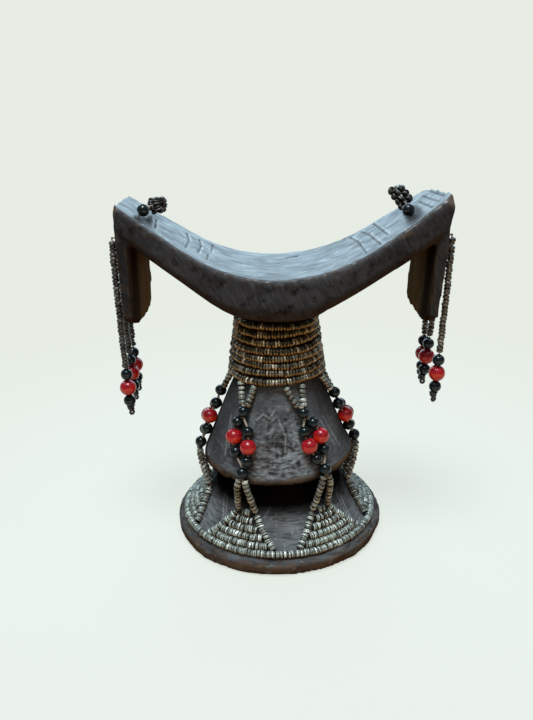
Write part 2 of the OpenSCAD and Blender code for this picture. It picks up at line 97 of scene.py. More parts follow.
def feed(tree, node, given):
    """Sets a node's inputs, each to a value or to a link from another node."""
    for key, value in given.items():
        value = value.outputs[0] if hasattr(value, "outputs") else value
        if hasattr(value, "is_linked"):
            tree.links.new(value, node.inputs[key])
        else:
            node.inputs[key].default_value = value


def add_node(tree, kind, given=(), **settings):
    """A node with these settings and inputs."""
    node = tree.nodes.new(kind)
    for name, setting in settings.items():
        setattr(node, name, setting)
    feed(tree, node, dict(given))
    return node


# Rays that the eye, a gloss or clear glass sends out see the pale ground, and all others the dim one.
floor_paint = bpy.data.materials.new("pale floor")
floor_paint.use_nodes = True
tree = floor_paint.node_tree
tree.nodes.clear()
ray = add_node(tree, "ShaderNodeLightPath").outputs
seen = ray["Is Camera Ray"]
for kind in ("Is Glossy Ray", "Is Transmission Ray"):
    seen = add_node(tree, "ShaderNodeMath", {0: seen, 1: ray[kind]}, operation="MAXIMUM")
shade = add_node(tree, "ShaderNodeBsdfDiffuse", {"Color": (0.16, 0.165, 0.155, 1)})
near_glow = add_node(tree, "ShaderNodeEmission", {"Color": pale, "Strength": 0.78})
near_ground = add_node(tree, "ShaderNodeAddShader", {0: shade, 1: near_glow})
far_ground = add_node(tree, "ShaderNodeEmission", {"Color": pale})
spot = add_node(tree, "ShaderNodeTexCoord").outputs["Object"]
distance = add_node(tree, "ShaderNodeVectorMath", {0: spot}, operation="LENGTH").outputs["Value"]
farther = add_node(tree, "ShaderNodeMapRange", {"Value": distance, "From Min": 0.08, "From Max": 0.40},
                   interpolation_type="SMOOTHSTEP")
ground = add_node(tree, "ShaderNodeMixShader", {0: farther, 1: near_ground, 2: far_ground})
bounce = add_node(tree, "ShaderNodeBsdfDiffuse", {"Color": (0.11, 0.065, 0.036, 1)})
pick = add_node(tree, "ShaderNodeMixShader", {0: seen, 1: bounce, 2: ground})
add_node(tree, "ShaderNodeOutputMaterial", {"Surface": pick})
floor_mesh.materials.append(floor_paint)


# Room: a pale backdrop to the eye. What lights the headrest is a bluish sky overhead
# that falls off to a dim brown below, as in a room with a window and a wooden floor.
def add_ramp(tree, value, stops):
    """A colour ramp with these places and colours."""
    node = add_node(tree, "ShaderNodeValToRGB", {"Fac": value})
    elements = node.color_ramp.elements
    elements[0].position, elements[0].color = stops[0][0], (*stops[0][1], 1)
    elements[1].position, elements[1].color = stops[-1][0], (*stops[-1][1], 1)
    for position, colour in stops[1:-1]:
        elements.new(position).color = (*colour, 1)
    return node.outputs["Color"]


sky_colours = (
    (0.40, (0.055, 0.034, 0.020)), (0.54, (0.075, 0.07, 0.066)),
    (0.80, (0.30, 0.34, 0.38)), (1.0, (0.72, 0.84, 0.95)))
world = bpy.data.worlds.new("pale room")
scene.world = world
world.use_nodes = True
tree = world.node_tree
tree.nodes.clear()
heading = add_node(tree, "ShaderNodeTexCoord").outputs["Generated"]
upness = add_node(tree, "ShaderNodeSeparateXYZ", {0: heading}).outputs["Z"]
height = add_node(tree, "ShaderNodeMapRange", {"Value": upness, "From Min": -1, "From Max": 1})
sky = add_ramp(tree, height, sky_colours)
room = add_node(tree, "ShaderNodeBackground", {"Color": sky, "Strength": 0.85})
backdrop = add_node(tree, "ShaderNodeBackground", {"Color": pale})
to_eye = add_node(tree, "ShaderNodeLightPath").outputs["Is Camera Ray"]
pick = add_node(tree, "ShaderNodeMixShader", {0: to_eye, 1: room, 2: backdrop})
add_node(tree, "ShaderNodeOutputWorld", {"Surface": pick})


# Lights: a wide cool window behind and above that lies on the top of the cradle,
# a soft box overhead, and a low warm lamp in front that lifts the beads' lower sides.
def soft_light(name, place, aim, size, watts, colour):
    data = bpy.data.lights.new(name, "AREA")
    data.shape = "RECTANGLE"
    data.size, data.size_y = size
    data.energy = watts
    data.color = colour
    lamp = stand(name, data)
    lamp.location = place
    lamp.rotation_euler = (Vector(aim) - Vector(place)).to_track_quat("-Z", "Y").to_euler()
    lamp.visible_camera = False


soft_light("window", (0, 2.0, 0.95), (0, 0, 0.15), (3.4, 1.7), 49, (0.58, 0.83, 1.0))
soft_light("overhead", (-0.08, -0.27, 1.25), (0, 0, 0.1), (0.45, 0.45), 15.5, (0.88, 0.96, 1.0))
soft_light("low front", (0.2, -0.75, 0.04), (0, 0, 0.1), (0.7, 0.2), 1.0, (1.0, 0.64, 0.32))


# Hanging strands: three at each lug, limp cotton thread with seed beads, black and red glass and a knot.
# The thread comes out of a hole in the lug's outer face and swings there; the glass swings below the seeds.
nodes = frame["nodes"]


def vertices_of(mesh, what="co"):
    """Three numbers for each vertex: its place, or its normal."""
    numbers = np.empty(len(mesh.vertices) * 3)
    mesh.vertices.foreach_get(what, numbers)
    return numbers.reshape(-1, 3)


def loose_parts(name):
    """The triangles of each separate solid in a CAD node."""
    mesh = nodes[name].data
    points = vertices_of(mesh)
    mesh.calc_loop_triangles()
    corners = np.empty(len(mesh.loop_triangles) * 3, dtype=np.int64)
    mesh.loop_triangles.foreach_get("vertices", corners)
    merged = np.unique(np.round(points * 1e6).astype(np.int64), axis=0, return_inverse=True)[1].ravel()
    faces = merged[corners].reshape(-1, 3)
    label = np.arange(merged.max() + 1)
    while True:
        low = label[faces].min(axis=1)
        fresh = label.copy()
        for k in range(3):
            np.minimum.at(fresh, faces[:, k], low)
        fresh = fresh[fresh]
        if (fresh == label).all():
            break
        label = fresh
    triangles = points[corners].reshape(-1, 3, 3)
    owner = label[faces[:, 0]]
    return [triangles[owner == one] for one in np.unique(owner)]


def bead_frames(*names, end_on=True):
    """Centre and hole direction of every bead in these CAD nodes."""
    centres, runs = [], []
    for name in names:
        for tri in loose_parts(name):
            normal = np.cross(tri[:, 1] - tri[:, 0], tri[:, 2] - tri[:, 0]) / 2
            area = np.linalg.norm(normal, axis=1) + 1e-15
            centres.append((tri.mean(axis=1) * area[:, None]).sum(axis=0) / area.sum())
            vectors = np.linalg.eigh((normal / area[:, None]).T @ normal)[1]
            runs.append(vectors[:, 2 if end_on else 0])
    return np.array(centres), np.array(runs)


def by_hand(frames, wander, seed):
    """The same frames, each bead a little out of place."""
    centres, runs = frames
    return centres + np.random.default_rng(seed).normal(0, wander * MM, centres.shape), runs


def write_mark(mesh, name, values):
    """A number at every vertex, or one for them all, for a finish to read."""
    mark = mesh.attributes.new(name, "FLOAT", "POINT")
    mark.data.foreach_set("value", np.full(len(mesh.vertices), values, dtype=np.float32))


def turned_bead(name, outline, around):
    """A bead turned about Z from a closed outline of (radius, height), with its worn middle marked."""
    rings = len(outline)
    tallest = max(abs(z) for r, z in outline)
    widest = max(r for r, z in outline)
    points, marks = [], []
    for k in range(around):
        a = 2 * math.pi * k / around
        for r, z in outline:
            points.append((r * math.cos(a) * MM, r * math.sin(a) * MM, z * MM))
            marks.append((1 - (abs(z) / tallest) ** 2) * r / widest)
    quads = []
    for k in range(around):
        this, other = k * rings, (k + 1) % around * rings
        for i in range(rings):
            after = (i + 1) % rings
            quads.append((this + i, other + i, other + after, this + after))
    mesh = bpy.data.meshes.new(name)
    mesh.from_pydata(points, [], quads)
    write_mark(mesh, "middle", marks)
    bm = bmesh.new()
    bm.from_mesh(mesh)
    bmesh.ops.recalc_face_normals(bm, faces=bm.faces)
    bm.to_mesh(mesh)
    bm.free()
    mesh.shade_smooth()
    return bpy.data.objects.new(name, mesh)


def bead_tree():
    """Geometry nodes: one bead on every point, turned along the thread, with small differences by hand."""
    group = bpy.data.node_groups.new("strung beads", "GeometryNodeTree")
    sockets = (("Geometry", "Geometry"), ("Bead", "Object"), ("Size spread", "Float"),
               ("Length spread", "Float"), ("Tilt", "Float"), ("Seed", "Int"), ("Material", "Material"))
    for name, kind in sockets:
        group.interface.new_socket(name, in_out="INPUT", socket_type="NodeSocket" + kind)
    group.interface.new_socket("Geometry", in_out="OUTPUT", socket_type="NodeSocketGeometry")

    def add(kind, given=(), **settings):
        return add_node(group, kind, given, **settings)

    def sum_up(first, second, way="ADD"):
        return add("ShaderNodeMath", {0: first, 1: second}, operation=way)

    def about_one(spread, offset):
        least, most = sum_up(1, spread, "SUBTRACT"), sum_up(1, spread)
        draw = {2: least, 3: most, "Seed": sum_up(given["Seed"], offset)}
        return add("FunctionNodeRandomValue", draw, data_type="FLOAT").outputs[1]

    given = add("NodeGroupInput").outputs
    seed, tilt, wide, long = given["Seed"], given["Tilt"], given["Size spread"], given["Length spread"]
    run = add("GeometryNodeInputNamedAttribute", {"Name": "run"}, data_type="FLOAT_VECTOR")
    along = add("FunctionNodeAlignRotationToVector", {"Vector": run.outputs["Attribute"]}, axis="Z")
    back = sum_up(tilt, -1, "MULTIPLY")
    low = add("ShaderNodeCombineXYZ", {"X": back, "Y": back, "Z": -math.pi})
    high = add("ShaderNodeCombineXYZ", {"X": tilt, "Y": tilt, "Z": math.pi})
    lean = add("FunctionNodeRandomValue", {0: low, 1: high, "Seed": seed}, data_type="FLOAT_VECTOR")
    euler = add("FunctionNodeEulerToRotation", {0: lean})
    turned = add("FunctionNodeRotateRotation", {0: along, 1: euler}, rotation_space="LOCAL")
    sizes = {"X": about_one(wide, 11), "Y": about_one(wide, 17), "Z": about_one(long, 23)}
    scale = add("ShaderNodeCombineXYZ", sizes)
    bead = add("GeometryNodeObjectInfo", {"As Instance": True, "Object": given["Bead"]}).outputs["Geometry"]
    strung = add("GeometryNodeInstanceOnPoints", {
        "Points": given["Geometry"], "Instance": bead, "Rotation": turned, "Scale": scale})
    tone = add("FunctionNodeRandomValue", {"Seed": seed}, data_type="FLOAT").outputs[1]
    toned = add("GeometryNodeStoreNamedAttribute", {"Geometry": strung, "Name": "tone", "Value": tone},
                data_type="FLOAT", domain="INSTANCE")
    real = add("GeometryNodeRealizeInstances", {0: toned})
    dressed = add("GeometryNodeSetMaterial", {"Geometry": real, "Material": given["Material"]})
    add("NodeGroupOutput", {0: dressed})
    return group


strung_beads = bead_tree()


def plain_mesh(name, thing):
    """The mesh that an object's modifiers make, in place of the object."""
    bpy.context.view_layer.update()
    depsgraph = bpy.context.evaluated_depsgraph_get()
    mesh = bpy.data.meshes.new_from_object(thing.evaluated_get(depsgraph), depsgraph=depsgraph)
    mesh.name = name
    thing.modifiers.clear()
    bpy.data.objects.remove(thing)
    return mesh


def string_up(name, frames, bead, finish, size=0.06, length=0.10, tilt=0.12, seed=1):
    """A plain mesh of beads on these frames, marked where it faces down."""
    centres, runs = frames
    mesh = bpy.data.meshes.new(name + " points")
    mesh.from_pydata([tuple(c) for c in centres], [], [])
    heading = mesh.attributes.new("run", "FLOAT_VECTOR", "POINT")
    heading.data.foreach_set("vector", runs.astype(np.float32).ravel())
    points = stand(name + " points", mesh)
    modifier = points.modifiers.new("beads", "NODES")
    modifier.node_group = strung_beads
    given = {"Bead": bead, "Size spread": size, "Length spread": length, "Tilt": tilt, "Seed": seed,
             "Material": finish.material}
    for item in strung_beads.interface.items_tree:
        if item.in_out == "INPUT" and item.name in given:
            modifier[item.identifier] = given[item.name]
    done = plain_mesh(name, points)
    write_mark(done, "under", np.clip(0.35 - vertices_of(done, "normal")[:, 2], 0, 1))
    return stand(name, done)


def mark_age_and_shade(piece, share):
    """Brown from long use, and on the collar painted shade as well: one share for the whole piece, or a
    function of height in millimetres.
    """
    z = vertices_of(piece.data)[:, 2] / MM
    write_mark(piece.data, "age_and_shade", share(z) if callable(share) else share)


class Finish:
    """A material put together from marks on the mesh, noise and mixes."""

    def __init__(self, name):
        self.material = bpy.data.materials.new(name)
        self.material.use_nodes = True
        self.tree = self.material.node_tree
        self.place = self.add("ShaderNodeTexCoord").outputs["Object"]

    def add(self, kind, given=(), **settings):
        return add_node(self.tree, kind, given, **settings)

    def set(self, **values):
        named = {name.replace("_", " "): value for name, value in values.items()}
        feed(self.tree, self.tree.nodes["Principled BSDF"], named)

    def mark(self, name):
        return self.add("ShaderNodeAttribute", attribute_name=name).outputs["Fac"]

    def noise(self, scale, stretch=(1, 1, 1), turn=(0, 0, 0), detail=4):
        mapping = self.add("ShaderNodeMapping", {"Scale": stretch, "Rotation": turn, "Vector": self.place},
                           vector_type="TEXTURE")
        given = {"Scale": scale, "Detail": detail, "Vector": mapping}
        return self.add("ShaderNodeTexNoise", given).outputs["Fac"]

    def reach(self, value, low, high, to_low=0.0, to_high=1.0):
        given = {"Value": value, "From Min": low, "From Max": high, "To Min": to_low, "To Max": to_high}
        return self.add("ShaderNodeMapRange", given).outputs["Result"]

    def mix(self, low, high, factor, kind="RGBA"):
        given = {"A": low, "B": high, "Factor": factor}
        return self.add("ShaderNodeMix", given, data_type=kind).outputs["Result"]

    def sum(self, first, second, way="ADD"):
        return self.add("ShaderNodeMath", {0: first, 1: second}, operation=way).outputs[0]

    def times(self, first, second):
        return self.sum(first, second, "MULTIPLY")

    def layer(self, under, colour, mark, amount):
        """A colour over another where the mesh is marked, more or less by the amount."""
        return self.mix(under, colour, self.times(self.mark(mark), amount))

    def ramp(self, value, *stops):
        return add_ramp(self.tree, value, stops)

    def bump(self, height, strength, depth):
        given = {"Height": height, "Strength": strength, "Distance": depth}
        self.set(Normal=self.add("ShaderNodeBump", given).outputs["Normal"])


# Seed beads are old glass worn to a dull sheen, each with its own tone and dark in the joints; their lower
# sides are painted brown to orange, a painted warm light from underneath.
def seed_look(name, new, old, painted_light_below, shine=(1, 1, 1, 1)):
    """A finish from the darkest bead's tone to the brightest, when new and when brown from long use, which on
    the collar also stands for painted shade.
    """
    f = Finish(name)
    patches = f.noise(700, detail=3)
    places = (0.0, 0.4, 0.8, 1.0)
    tone = f.mark("tone")
    colour = f.mix(f.ramp(tone, *zip(places, new)), f.ramp(tone, *zip(places, old)), f.mark("age_and_shade"))
    colour = f.mix(colour, (0.040, 0.032, 0.024, 1), f.reach(patches, 0.52, 0.72, 0, 0.65))
    # Painted warm light: faces turned down take the colour for the lower side.
    colour = f.mix(colour, painted_light_below, f.reach(f.mark("under"), 0.25, 0.9, 0, 0.85))
    colour = f.mix((0.022, 0.016, 0.010, 1), colour, f.reach(f.mark("middle"), 0.0, 0.40))
    f.set(Base_Color=colour, Roughness=f.reach(patches, 0.3, 0.7, 0.20, 0.42), Metallic=0.25)
    f.set(Specular_IOR_Level=0.5, Specular_Tint=shine)
    return f


brown_finish = seed_look(
    "brown seed bead",
    new=((0.025, 0.024, 0.020), (0.075, 0.072, 0.062), (0.17, 0.165, 0.145), (0.48, 0.47, 0.43)),
    old=((0.026, 0.020, 0.013), (0.085, 0.068, 0.045), (0.19, 0.155, 0.110), (0.48, 0.42, 0.33)),
    painted_light_below=(0.190, 0.120, 0.058, 1))
dark_finish = seed_look(
    "dark seed bead",
    new=((0.012, 0.013, 0.013), (0.035, 0.037, 0.036), (0.085, 0.092, 0.092), (0.24, 0.26, 0.26)),
    old=((0.020, 0.015, 0.009), (0.052, 0.041, 0.028), (0.105, 0.086, 0.064), (0.24, 0.21, 0.17)),
    painted_light_below=(0.060, 0.036, 0.016, 1))

# Black glass: opaque and glossy, a little uneven.
black_finish = Finish("black glass")
dust = black_finish.noise(500)
black_finish.set(
    Base_Color=black_finish.ramp(dust, (0.45, (0.003, 0.006, 0.007)), (0.8, (0.010, 0.015, 0.017))),
    Roughness=black_finish.reach(dust, 0.3, 0.7, 0.10, 0.22),
    Specular_IOR_Level=0.34, Specular_Tint=(0.92, 0.99, 1.0, 1))

# Red glass: clear red, crazed with fine bright cracks, with a painted orange glow on its lower side, where
# light would leave it.
red_finish = Finish("red crackle glass")
cracks = red_finish.add("ShaderNodeTexVoronoi", {"Scale": 900, "Vector": red_finish.place},
                        feature="DISTANCE_TO_EDGE")
crack = red_finish.reach(cracks.outputs["Distance"], 0.0, 0.07, 1.0, 0.0)
body = red_finish.ramp(red_finish.noise(420), (0.32, (0.22, 0.0015, 0.009)), (0.70, (0.45, 0.005, 0.016)))
glow = red_finish.reach(red_finish.mark("under"), 0.02, 0.50)
body = red_finish.mix(body, (1.0, 0.045, 0.008, 1), glow)
body = red_finish.mix(body, (1.0, 0.14, 0.06, 1), red_finish.times(crack, 0.14))
red_finish.set(Base_Color=body, Roughness=0.22, IOR=1.5, Transmission_Weight=0.05, Specular_IOR_Level=0.40,
               Subsurface_Weight=0.35, Subsurface_Radius=(1.0, 0.16, 0.10), Subsurface_Scale=0.003)

# Thread: pale cotton in two plies, browned by handling.
thread_finish = Finish("cotton thread")
plies = {"Scale": 900, "Distortion": 1.5, "Vector": thread_finish.place}
twist = thread_finish.add("ShaderNodeTexWave", plies, bands_direction="DIAGONAL").outputs["Fac"]
cotton = thread_finish.ramp(twist, (0.0, (0.21, 0.155, 0.10)), (1.0, (0.58, 0.51, 0.41)))
thread_finish.set(Base_Color=cotton, Roughness=0.85)
thread_finish.bump(twist, 0.5, 0.2 * MM)

# A strand's seed bead is a short worn ring, and a glass bead a wound ball with a hole.
short_bead = turned_bead("short bead", [
    (0.6, -0.80), (1.26, -0.88), (1.62, -0.55), (1.70, 0.05), (1.60, 0.57), (1.25, 0.88), (0.6, 0.80)], 12)
ball = [(math.cos(math.radians(a)), math.sin(math.radians(a))) for a in range(-66, 67, 12)]
black_bead = turned_bead("black bead", [(3.05 * r, 3.0 * z) for r, z in ball], 24)
red_bead = turned_bead("red bead", [(4.12 * r, 4.05 * z) for r, z in ball], 28)


def tube(name, points, radius, sides=8, closed=False):
    """A tube along a line of points, with one radius or one for each point."""
    points = [Vector(p) for p in points]
    count = len(points)
    radii = radius if isinstance(radius, (list, tuple)) else [radius] * count
    bm = bmesh.new()
    rings = []
    side = None
    for k, p in enumerate(points):
        after = points[(k + 1) % count] if closed else points[min(k + 1, count - 1)]
        before = points[k - 1] if closed else points[max(k - 1, 0)]
        run = (after - before).normalized()
        if side is None:
            side = run.orthogonal().normalized()
        side = (side - run * side.dot(run)).normalized()
        up = run.cross(side)
        turns = [2 * math.pi * i / sides for i in range(sides)]
        rings.append([bm.verts.new(p + radii[k] * (math.cos(t) * side + math.sin(t) * up)) for t in turns])
    pairs = list(zip(rings, rings[1:] + rings[:1])) if closed else list(zip(rings, rings[1:]))
    for a, b in pairs:
        for i in range(sides):
            bm.faces.new((a[i], a[(i + 1) % sides], b[(i + 1) % sides], b[i]))
    if not closed:
        bm.faces.new(list(reversed(rings[0])))
        bm.faces.new(rings[-1])
    bmesh.ops.recalc_face_normals(bm, faces=bm.faces)
    mesh = bpy.data.meshes.new(name)
    bm.to_mesh(mesh)
    bm.free()
    mesh.shade_smooth()
    return stand(name, mesh)


def fit(piece, body, slot, *replaced):
    """Fixes a piece to its body in place of its CAD nodes."""
    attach(piece, body)
    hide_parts(*replaced)


# Each strand bows out half way down and swings in or out at its foot, in millimetres.
bow = {"left_front": (-0.3, 1.9), "left_middle": (-1.4, 1.0), "left_back": (-1.6, 0.0),
       "right_front": (0.0, -3.8), "right_middle": (0.8, -4.2), "right_back": (0.6, -0.9)}
strand_finish = {"left": dark_finish, "right": brown_finish}
# A knot is two fat turns of thread and a loop: across, up from the strand's foot, and radius in millimetres.
knot = [(0, 6.0, 0.4), (0.1, 5.8, 1.6), (-0.1, 5.4, 2.2), (0.1, 4.9, 2.1), (0.2, 4.6, 1.2), (0.1, 4.3, 1.8),
        (-0.2, 3.8, 1.9), (0, 3.4, 1.3), (0.2, 3.1, 0.8), (0.8, 2.5, 0.7), (1.0, 1.6, 0.7), (0.5, 0.8, 0.7),
        (-0.4, 0.75, 0.7), (-0.8, 1.5, 0.7), (-0.5, 2.3, 0.65), (0.1, 2.7, 0.5)]
strand_thread_radius = 0.38 * MM
joint_place = {j["name"]: Vector(j["pos_m"]) for j in frame["joints"]}
for end in ("left", "right"):
    for number, spot in enumerate(("front", "middle", "back")):
        key = f"{end}_{spot}"
        top = joint_place[key + "_swing"]
        knee = joint_place[key + "_drop_sway"]
        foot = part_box(key + "_drop_thread")[0]
        seed = 7 * number + len(key)

        def bowed(x, y, z):
            share = min(1, max(0, (top.z - z) / (top.z - foot[2])))
            belly, swing = bow[key]
            return Vector((x + (belly * math.sin(math.pi * share) + swing * share ** 1.5) * MM, y, z))

        def bowed_frames(frames, wander):
            centres, runs = by_hand(frames, wander, seed)
            return np.array([bowed(*c) for c in centres]), runs

        seeds = string_up(key + "_seed_beads", bowed_frames(bead_frames(key + "_seeds"), 0.12),
                          short_bead, strand_finish[end], size=0.09, length=0.12, tilt=0.18, seed=seed)
        mark_age_and_shade(seeds, 0.7)
        fit(seeds, key + "_strand", "seed_bead", key + "_seeds")

        steps = 16
        thread_end = knee + Vector((0, 0, 0.4 * MM))
        line = [bowed(*top.lerp(thread_end, k / steps)) for k in range(steps + 1)]
        thread = tube(key + "_strand_thread", line, strand_thread_radius)
        thread.data.materials.append(thread_finish.material)
        fit(thread, key + "_strand", "thread", key + "_thread")

        black_frames = bowed_frames(bead_frames(key + "_drop_black", end_on=False), 0.1)
        black = string_up(key + "_black_beads", black_frames,
                          black_bead, black_finish, size=0.03, length=0.05, seed=3 * seed)
        fit(black, key + "_drop", "black_glass", key + "_drop_black")

        red_frames = bowed_frames(bead_frames(key + "_drop_red", end_on=False), 0.1)
        red = string_up(key + "_red_bead", red_frames,
                        red_bead, red_finish, size=0.02, length=0.03, seed=5 * seed)
        fit(red, key + "_drop", "red_glass", key + "_drop_red")

        steps = 6
        drop = knee.z - foot[2] - 6.6 * MM
        tail = [bowed(knee.x, knee.y, knee.z - 0.3 * MM - drop * k / steps) for k in range(steps + 1)]
        low = bowed(knee.x, knee.y, foot[2])
        twirl = 0.4 * (-1) ** number
        tied = [low + Vector((x, twirl * x, z)) * MM for x, z, r in knot]
        tied_radii = [strand_thread_radius] * len(tail) + [r * MM for x, z, r in knot]
        end_knot = tube(key + "_knot", tail + tied, tied_radii, 10)
        end_knot.data.materials.append(dark_finish.material)
        for name, value in (("tone", 0.25), ("middle", 0.45), ("age_and_shade", 0.6)):
            write_mark(end_knot.data, name, value)
        fit(end_knot, key + "_drop", "thread", key + "_drop_thread")


# Carved wood: foot, skirt, neck, cradle and lugs cut from one block with an adze and knife,
# stained nearly black, rubbed brown on its edges and polished on the cradle by use.
def lattice(u, v, w=0.0, *, seed):
    """Smooth noise from -1 to 1 at rows of points."""
    strides, stir, full = np.array((374761393, 668265263, 1440662683)), 1274126177, 0xFFFFFFFF
    p = np.stack(np.broadcast_arrays(u, v, w), 1)
    cell = np.floor(p).astype(np.int64)
    f = p - cell
    f = f * f * (3 - 2 * f)
    total = np.zeros(len(p))
    for corner in range(8):
        step = np.array([corner & 1, corner >> 1 & 1, corner >> 2 & 1])
        h = ((cell + step) @ strides + seed * stir) & full
        h = ((h ^ (h >> 13)) * stir) & full
        h = (h ^ (h >> 16)) / full * 2 - 1
        total += h * np.where(step, f, 1 - f).prod(axis=1)
    return total


def smooth(points, edges, times, swell=0.0):
    """Points drawn towards the middle of their neighbours, and swollen back so that nothing shrinks."""
    share = np.bincount(edges.ravel(), minlength=len(points))[:, None]
    for _ in range(times):
        for rate in (0.5, -swell):
            around = np.zeros_like(points)
            for k in range(3):
                around[:, k] = np.bincount(edges[:, 0], points[edges[:, 1], k], len(points))
                around[:, k] += np.bincount(edges[:, 1], points[edges[:, 0], k], len(points))
            points = points + rate * (around / np.maximum(share, 1) - points)
    return points


def ramp_up(value, low, high):
    """0 up to the low value, 1 from the high one, and a straight slope between them."""
    return np.clip((value - low) / (high - low), 0, 1)


def fade(away, width, power=2):
    """1 on a line, falling away on both sides of it."""
    return np.exp(-(away / width) ** power)


def polar(points):
    """The angle of points round the upright axis, from the front, and their distance from it."""
    return np.arctan2(points[:, 0], -points[:, 1]), np.hypot(points[:, 0], points[:, 1])


far_off = 99.0


def line_distance(u, v, lines):
    """How far each point lies from the nearest of these lines."""
    best = np.full(len(u), far_off)
    for line in lines:
        for (au, av), (bu, bv) in zip(line, line[1:]):
            du, dv = bu - au, bv - av
            t = np.clip(((u - au) * du + (v - av) * dv) / (du ** 2 + dv ** 2), 0, 1)
            best = np.minimum(best, np.hypot(u - au - t * du, v - av - t * dv))
    return best


def skin_of(mesh):
    """Points in millimetres, edges and normals of a mesh."""
    pairs = np.empty(len(mesh.edges) * 2, dtype=np.int64)
    mesh.edges.foreach_get("vertices", pairs)
    return vertices_of(mesh) / MM, pairs.reshape(-1, 2), vertices_of(mesh, "normal")


block = stand("wood block", nodes["carved_body"].data.copy())
bm = bmesh.new()
bm.from_mesh(block.data)
bmesh.ops.remove_doubles(bm, verts=bm.verts, dist=2e-6)
bm.to_mesh(block.data)
bm.free()
skin = block.modifiers.new("skin", "REMESH")
skin.mode = "VOXEL"
skin.voxel_size = 0.97 * MM
wood_mesh = plain_mesh("headrest_wood", block)
wood_mesh.materials.clear()
co, edges, normal = skin_of(wood_mesh)
co = smooth(co, edges, 4, swell=0.52)

# The right end rises and reaches a little past the left one, and the cradle's belly sags round the neck.
end_rise, end_reach, sag = 2.2, 1.4, 2.8
co[:, 2] += end_rise * ramp_up(co[:, 0], 64, 81) * ramp_up(co[:, 2], 164, 172)
co[:, 0] += end_reach * ramp_up(co[:, 0], 70, 79) * ramp_up(co[:, 2], 166, 174)
left_low, right_high = co[:, 0].min(), co[:, 0].max()
belly = ramp_up(134 - co[:, 2], 0, 7) * (co[:, 2] > 121) * np.clip(1 - (co[:, 0] / 25) ** 2, 0, 1)
co[:, 2] -= sag * belly * ramp_up(polar(co)[1], 18.5, 21)

# The ends' corners are pared off flat: the corner, the way that the cut faces, and its depth.
corners = [
    ((left_low, -16.5, 178.2), (-0.6, -0.55, 0.55), 2.6),
    ((right_high, -20.5, 182.1), (0.50, -0.55, 0.66), 4.2),
    ((right_high - 5, 20.5, 177.8), (0.55, 0.6, 0.5), 2.6),
    ((left_low + 1.5, 16.5, 177.2), (-0.6, 0.5, 0.5), 1.4)]


def past_cut(points, corner, facing, depth):
    """How far points stand out past a flat cut, and the way that the cut faces."""
    facing = np.array(facing) / np.linalg.norm(facing)
    return (points - np.array(corner)) @ facing + depth, facing


for corner in corners:
    over, facing = past_cut(co, *corner)
    co = co - np.maximum(0, over)[:, None] * facing
co = smooth(co, edges, 1, swell=0.5)
lowest = 0.6
co[:, 2] = np.where(co[:, 2] < lowest, 0, co[:, 2])
wood_mesh.vertices.foreach_set("co", (co * MM).ravel())
wood_mesh.update()

# Cut lines on the cradle's top, each a line of points from the back to the front.
cuts = [
    [(38.5, 20), (41.0, 6.5), (42.6, -22)], [(44.0, 20.5), (46.5, 7.0), (49.2, -21.4)],
    [(50.2, 21.9), (53.2, -12.6)], [(70.2, 5.5), (72.3, -17.3)], [(72.8, 11.2), (75.8, -14.6)],
    [(75.8, 15.4), (78.8, -11.5)], [(-44.3, 11.5), (-42.3, 2.4), (-42.2, -12.5)],
    [(-38.5, 13.2), (-36.7, 5.9), (-36.8, -9.3)], [(-32.0, 15.4), (-31.6, 3.3)],
    [(-32.5, -5.2), (-32.3, -13.3)], [(-58.0, 3.2), (-56.7, -10.7)], [(5.5, 14.0), (11.2, 15.1)]]
# Gouges and pale scratches on the walls of skirt and foot, rolled out flat: along from the front, and height.
skirt_radius = 36
gouges = [
    [(-13.2, 72.1), (-8.8, 75.2), (-5.0, 73.2), (-1.3, 77.1)], [(1.3, 72.4), (5.0, 65.1), (4.2, 58)]]
scratched = [
    [(-33.9, 70.3), (-29.5, 52.2)], [(-31.4, 68), (-28.3, 56)], [(33.3, 70.1), (39.6, 52.6)],
    [(30.0, 69), (34.8, 55)], [(-35.8, 26.1), (-27.0, 14.1)], [(-33.3, 26.4), (-26.4, 15.5)],
    [(39.0, 24.3), (36.4, 12.0)], [(41.5, 21.9), (37.1, 10.4)], [(-3.8, 27.1), (-6.9, 21.9)],
    [(25.0, 24.0), (27.5, 13.0)], [(9.5, 70), (13.5, 57)]]


def line_marks(points, facing):
    """How far each point lies from a cut, from the raised edge beside it, from a gouge and from a scratch."""
    x, y, z = points.T
    wall = skirt_radius * polar(points)[0]
    top = (facing[:, 2] > 0.6) & (z > 140)
    low = (z < 90) & (z > 9)
    found = [line_distance(x, y, cuts), line_distance(x - 0.9, y, cuts)]
    found += [line_distance(wall, z, gouges), line_distance(wall, z, scratched)]
    return [np.where(side, away, far_off) for side, away in zip((top, top, low, low), found)]


# The skin is cut finer along those lines, and its flat underside is one face.
co, edges, normal = skin_of(wood_mesh)
near = np.min(line_marks(co, normal), axis=0) < 1.3
flat = (co[:, 2] < 0.01) & (polar(co)[1] < 50)
bm = bmesh.new()
bm.from_mesh(wood_mesh)
fine = [e for e in bm.edges if near[e.verts[0].index] and near[e.verts[1].index]]
under = [f for f in bm.faces if all(flat[v.index] for v in f.verts)]
bmesh.ops.dissolve_faces(bm, faces=under, use_verts=True)
bmesh.ops.subdivide_edges(bm, edges=fine, cuts=1, use_grid_fill=True)
bm.to_mesh(wood_mesh)
bm.free()
co, edges, normal = skin_of(wood_mesh)
flat_co = smooth(co, edges, 14)
edge_wear = np.clip(((co - flat_co) * normal).sum(axis=1) / 0.34, 0, 1)
pared = np.zeros(len(co))
for corner in corners:
    pared = np.maximum(pared, fade(past_cut(co, *corner)[0], 0.3) * (co[:, 2] > 165))

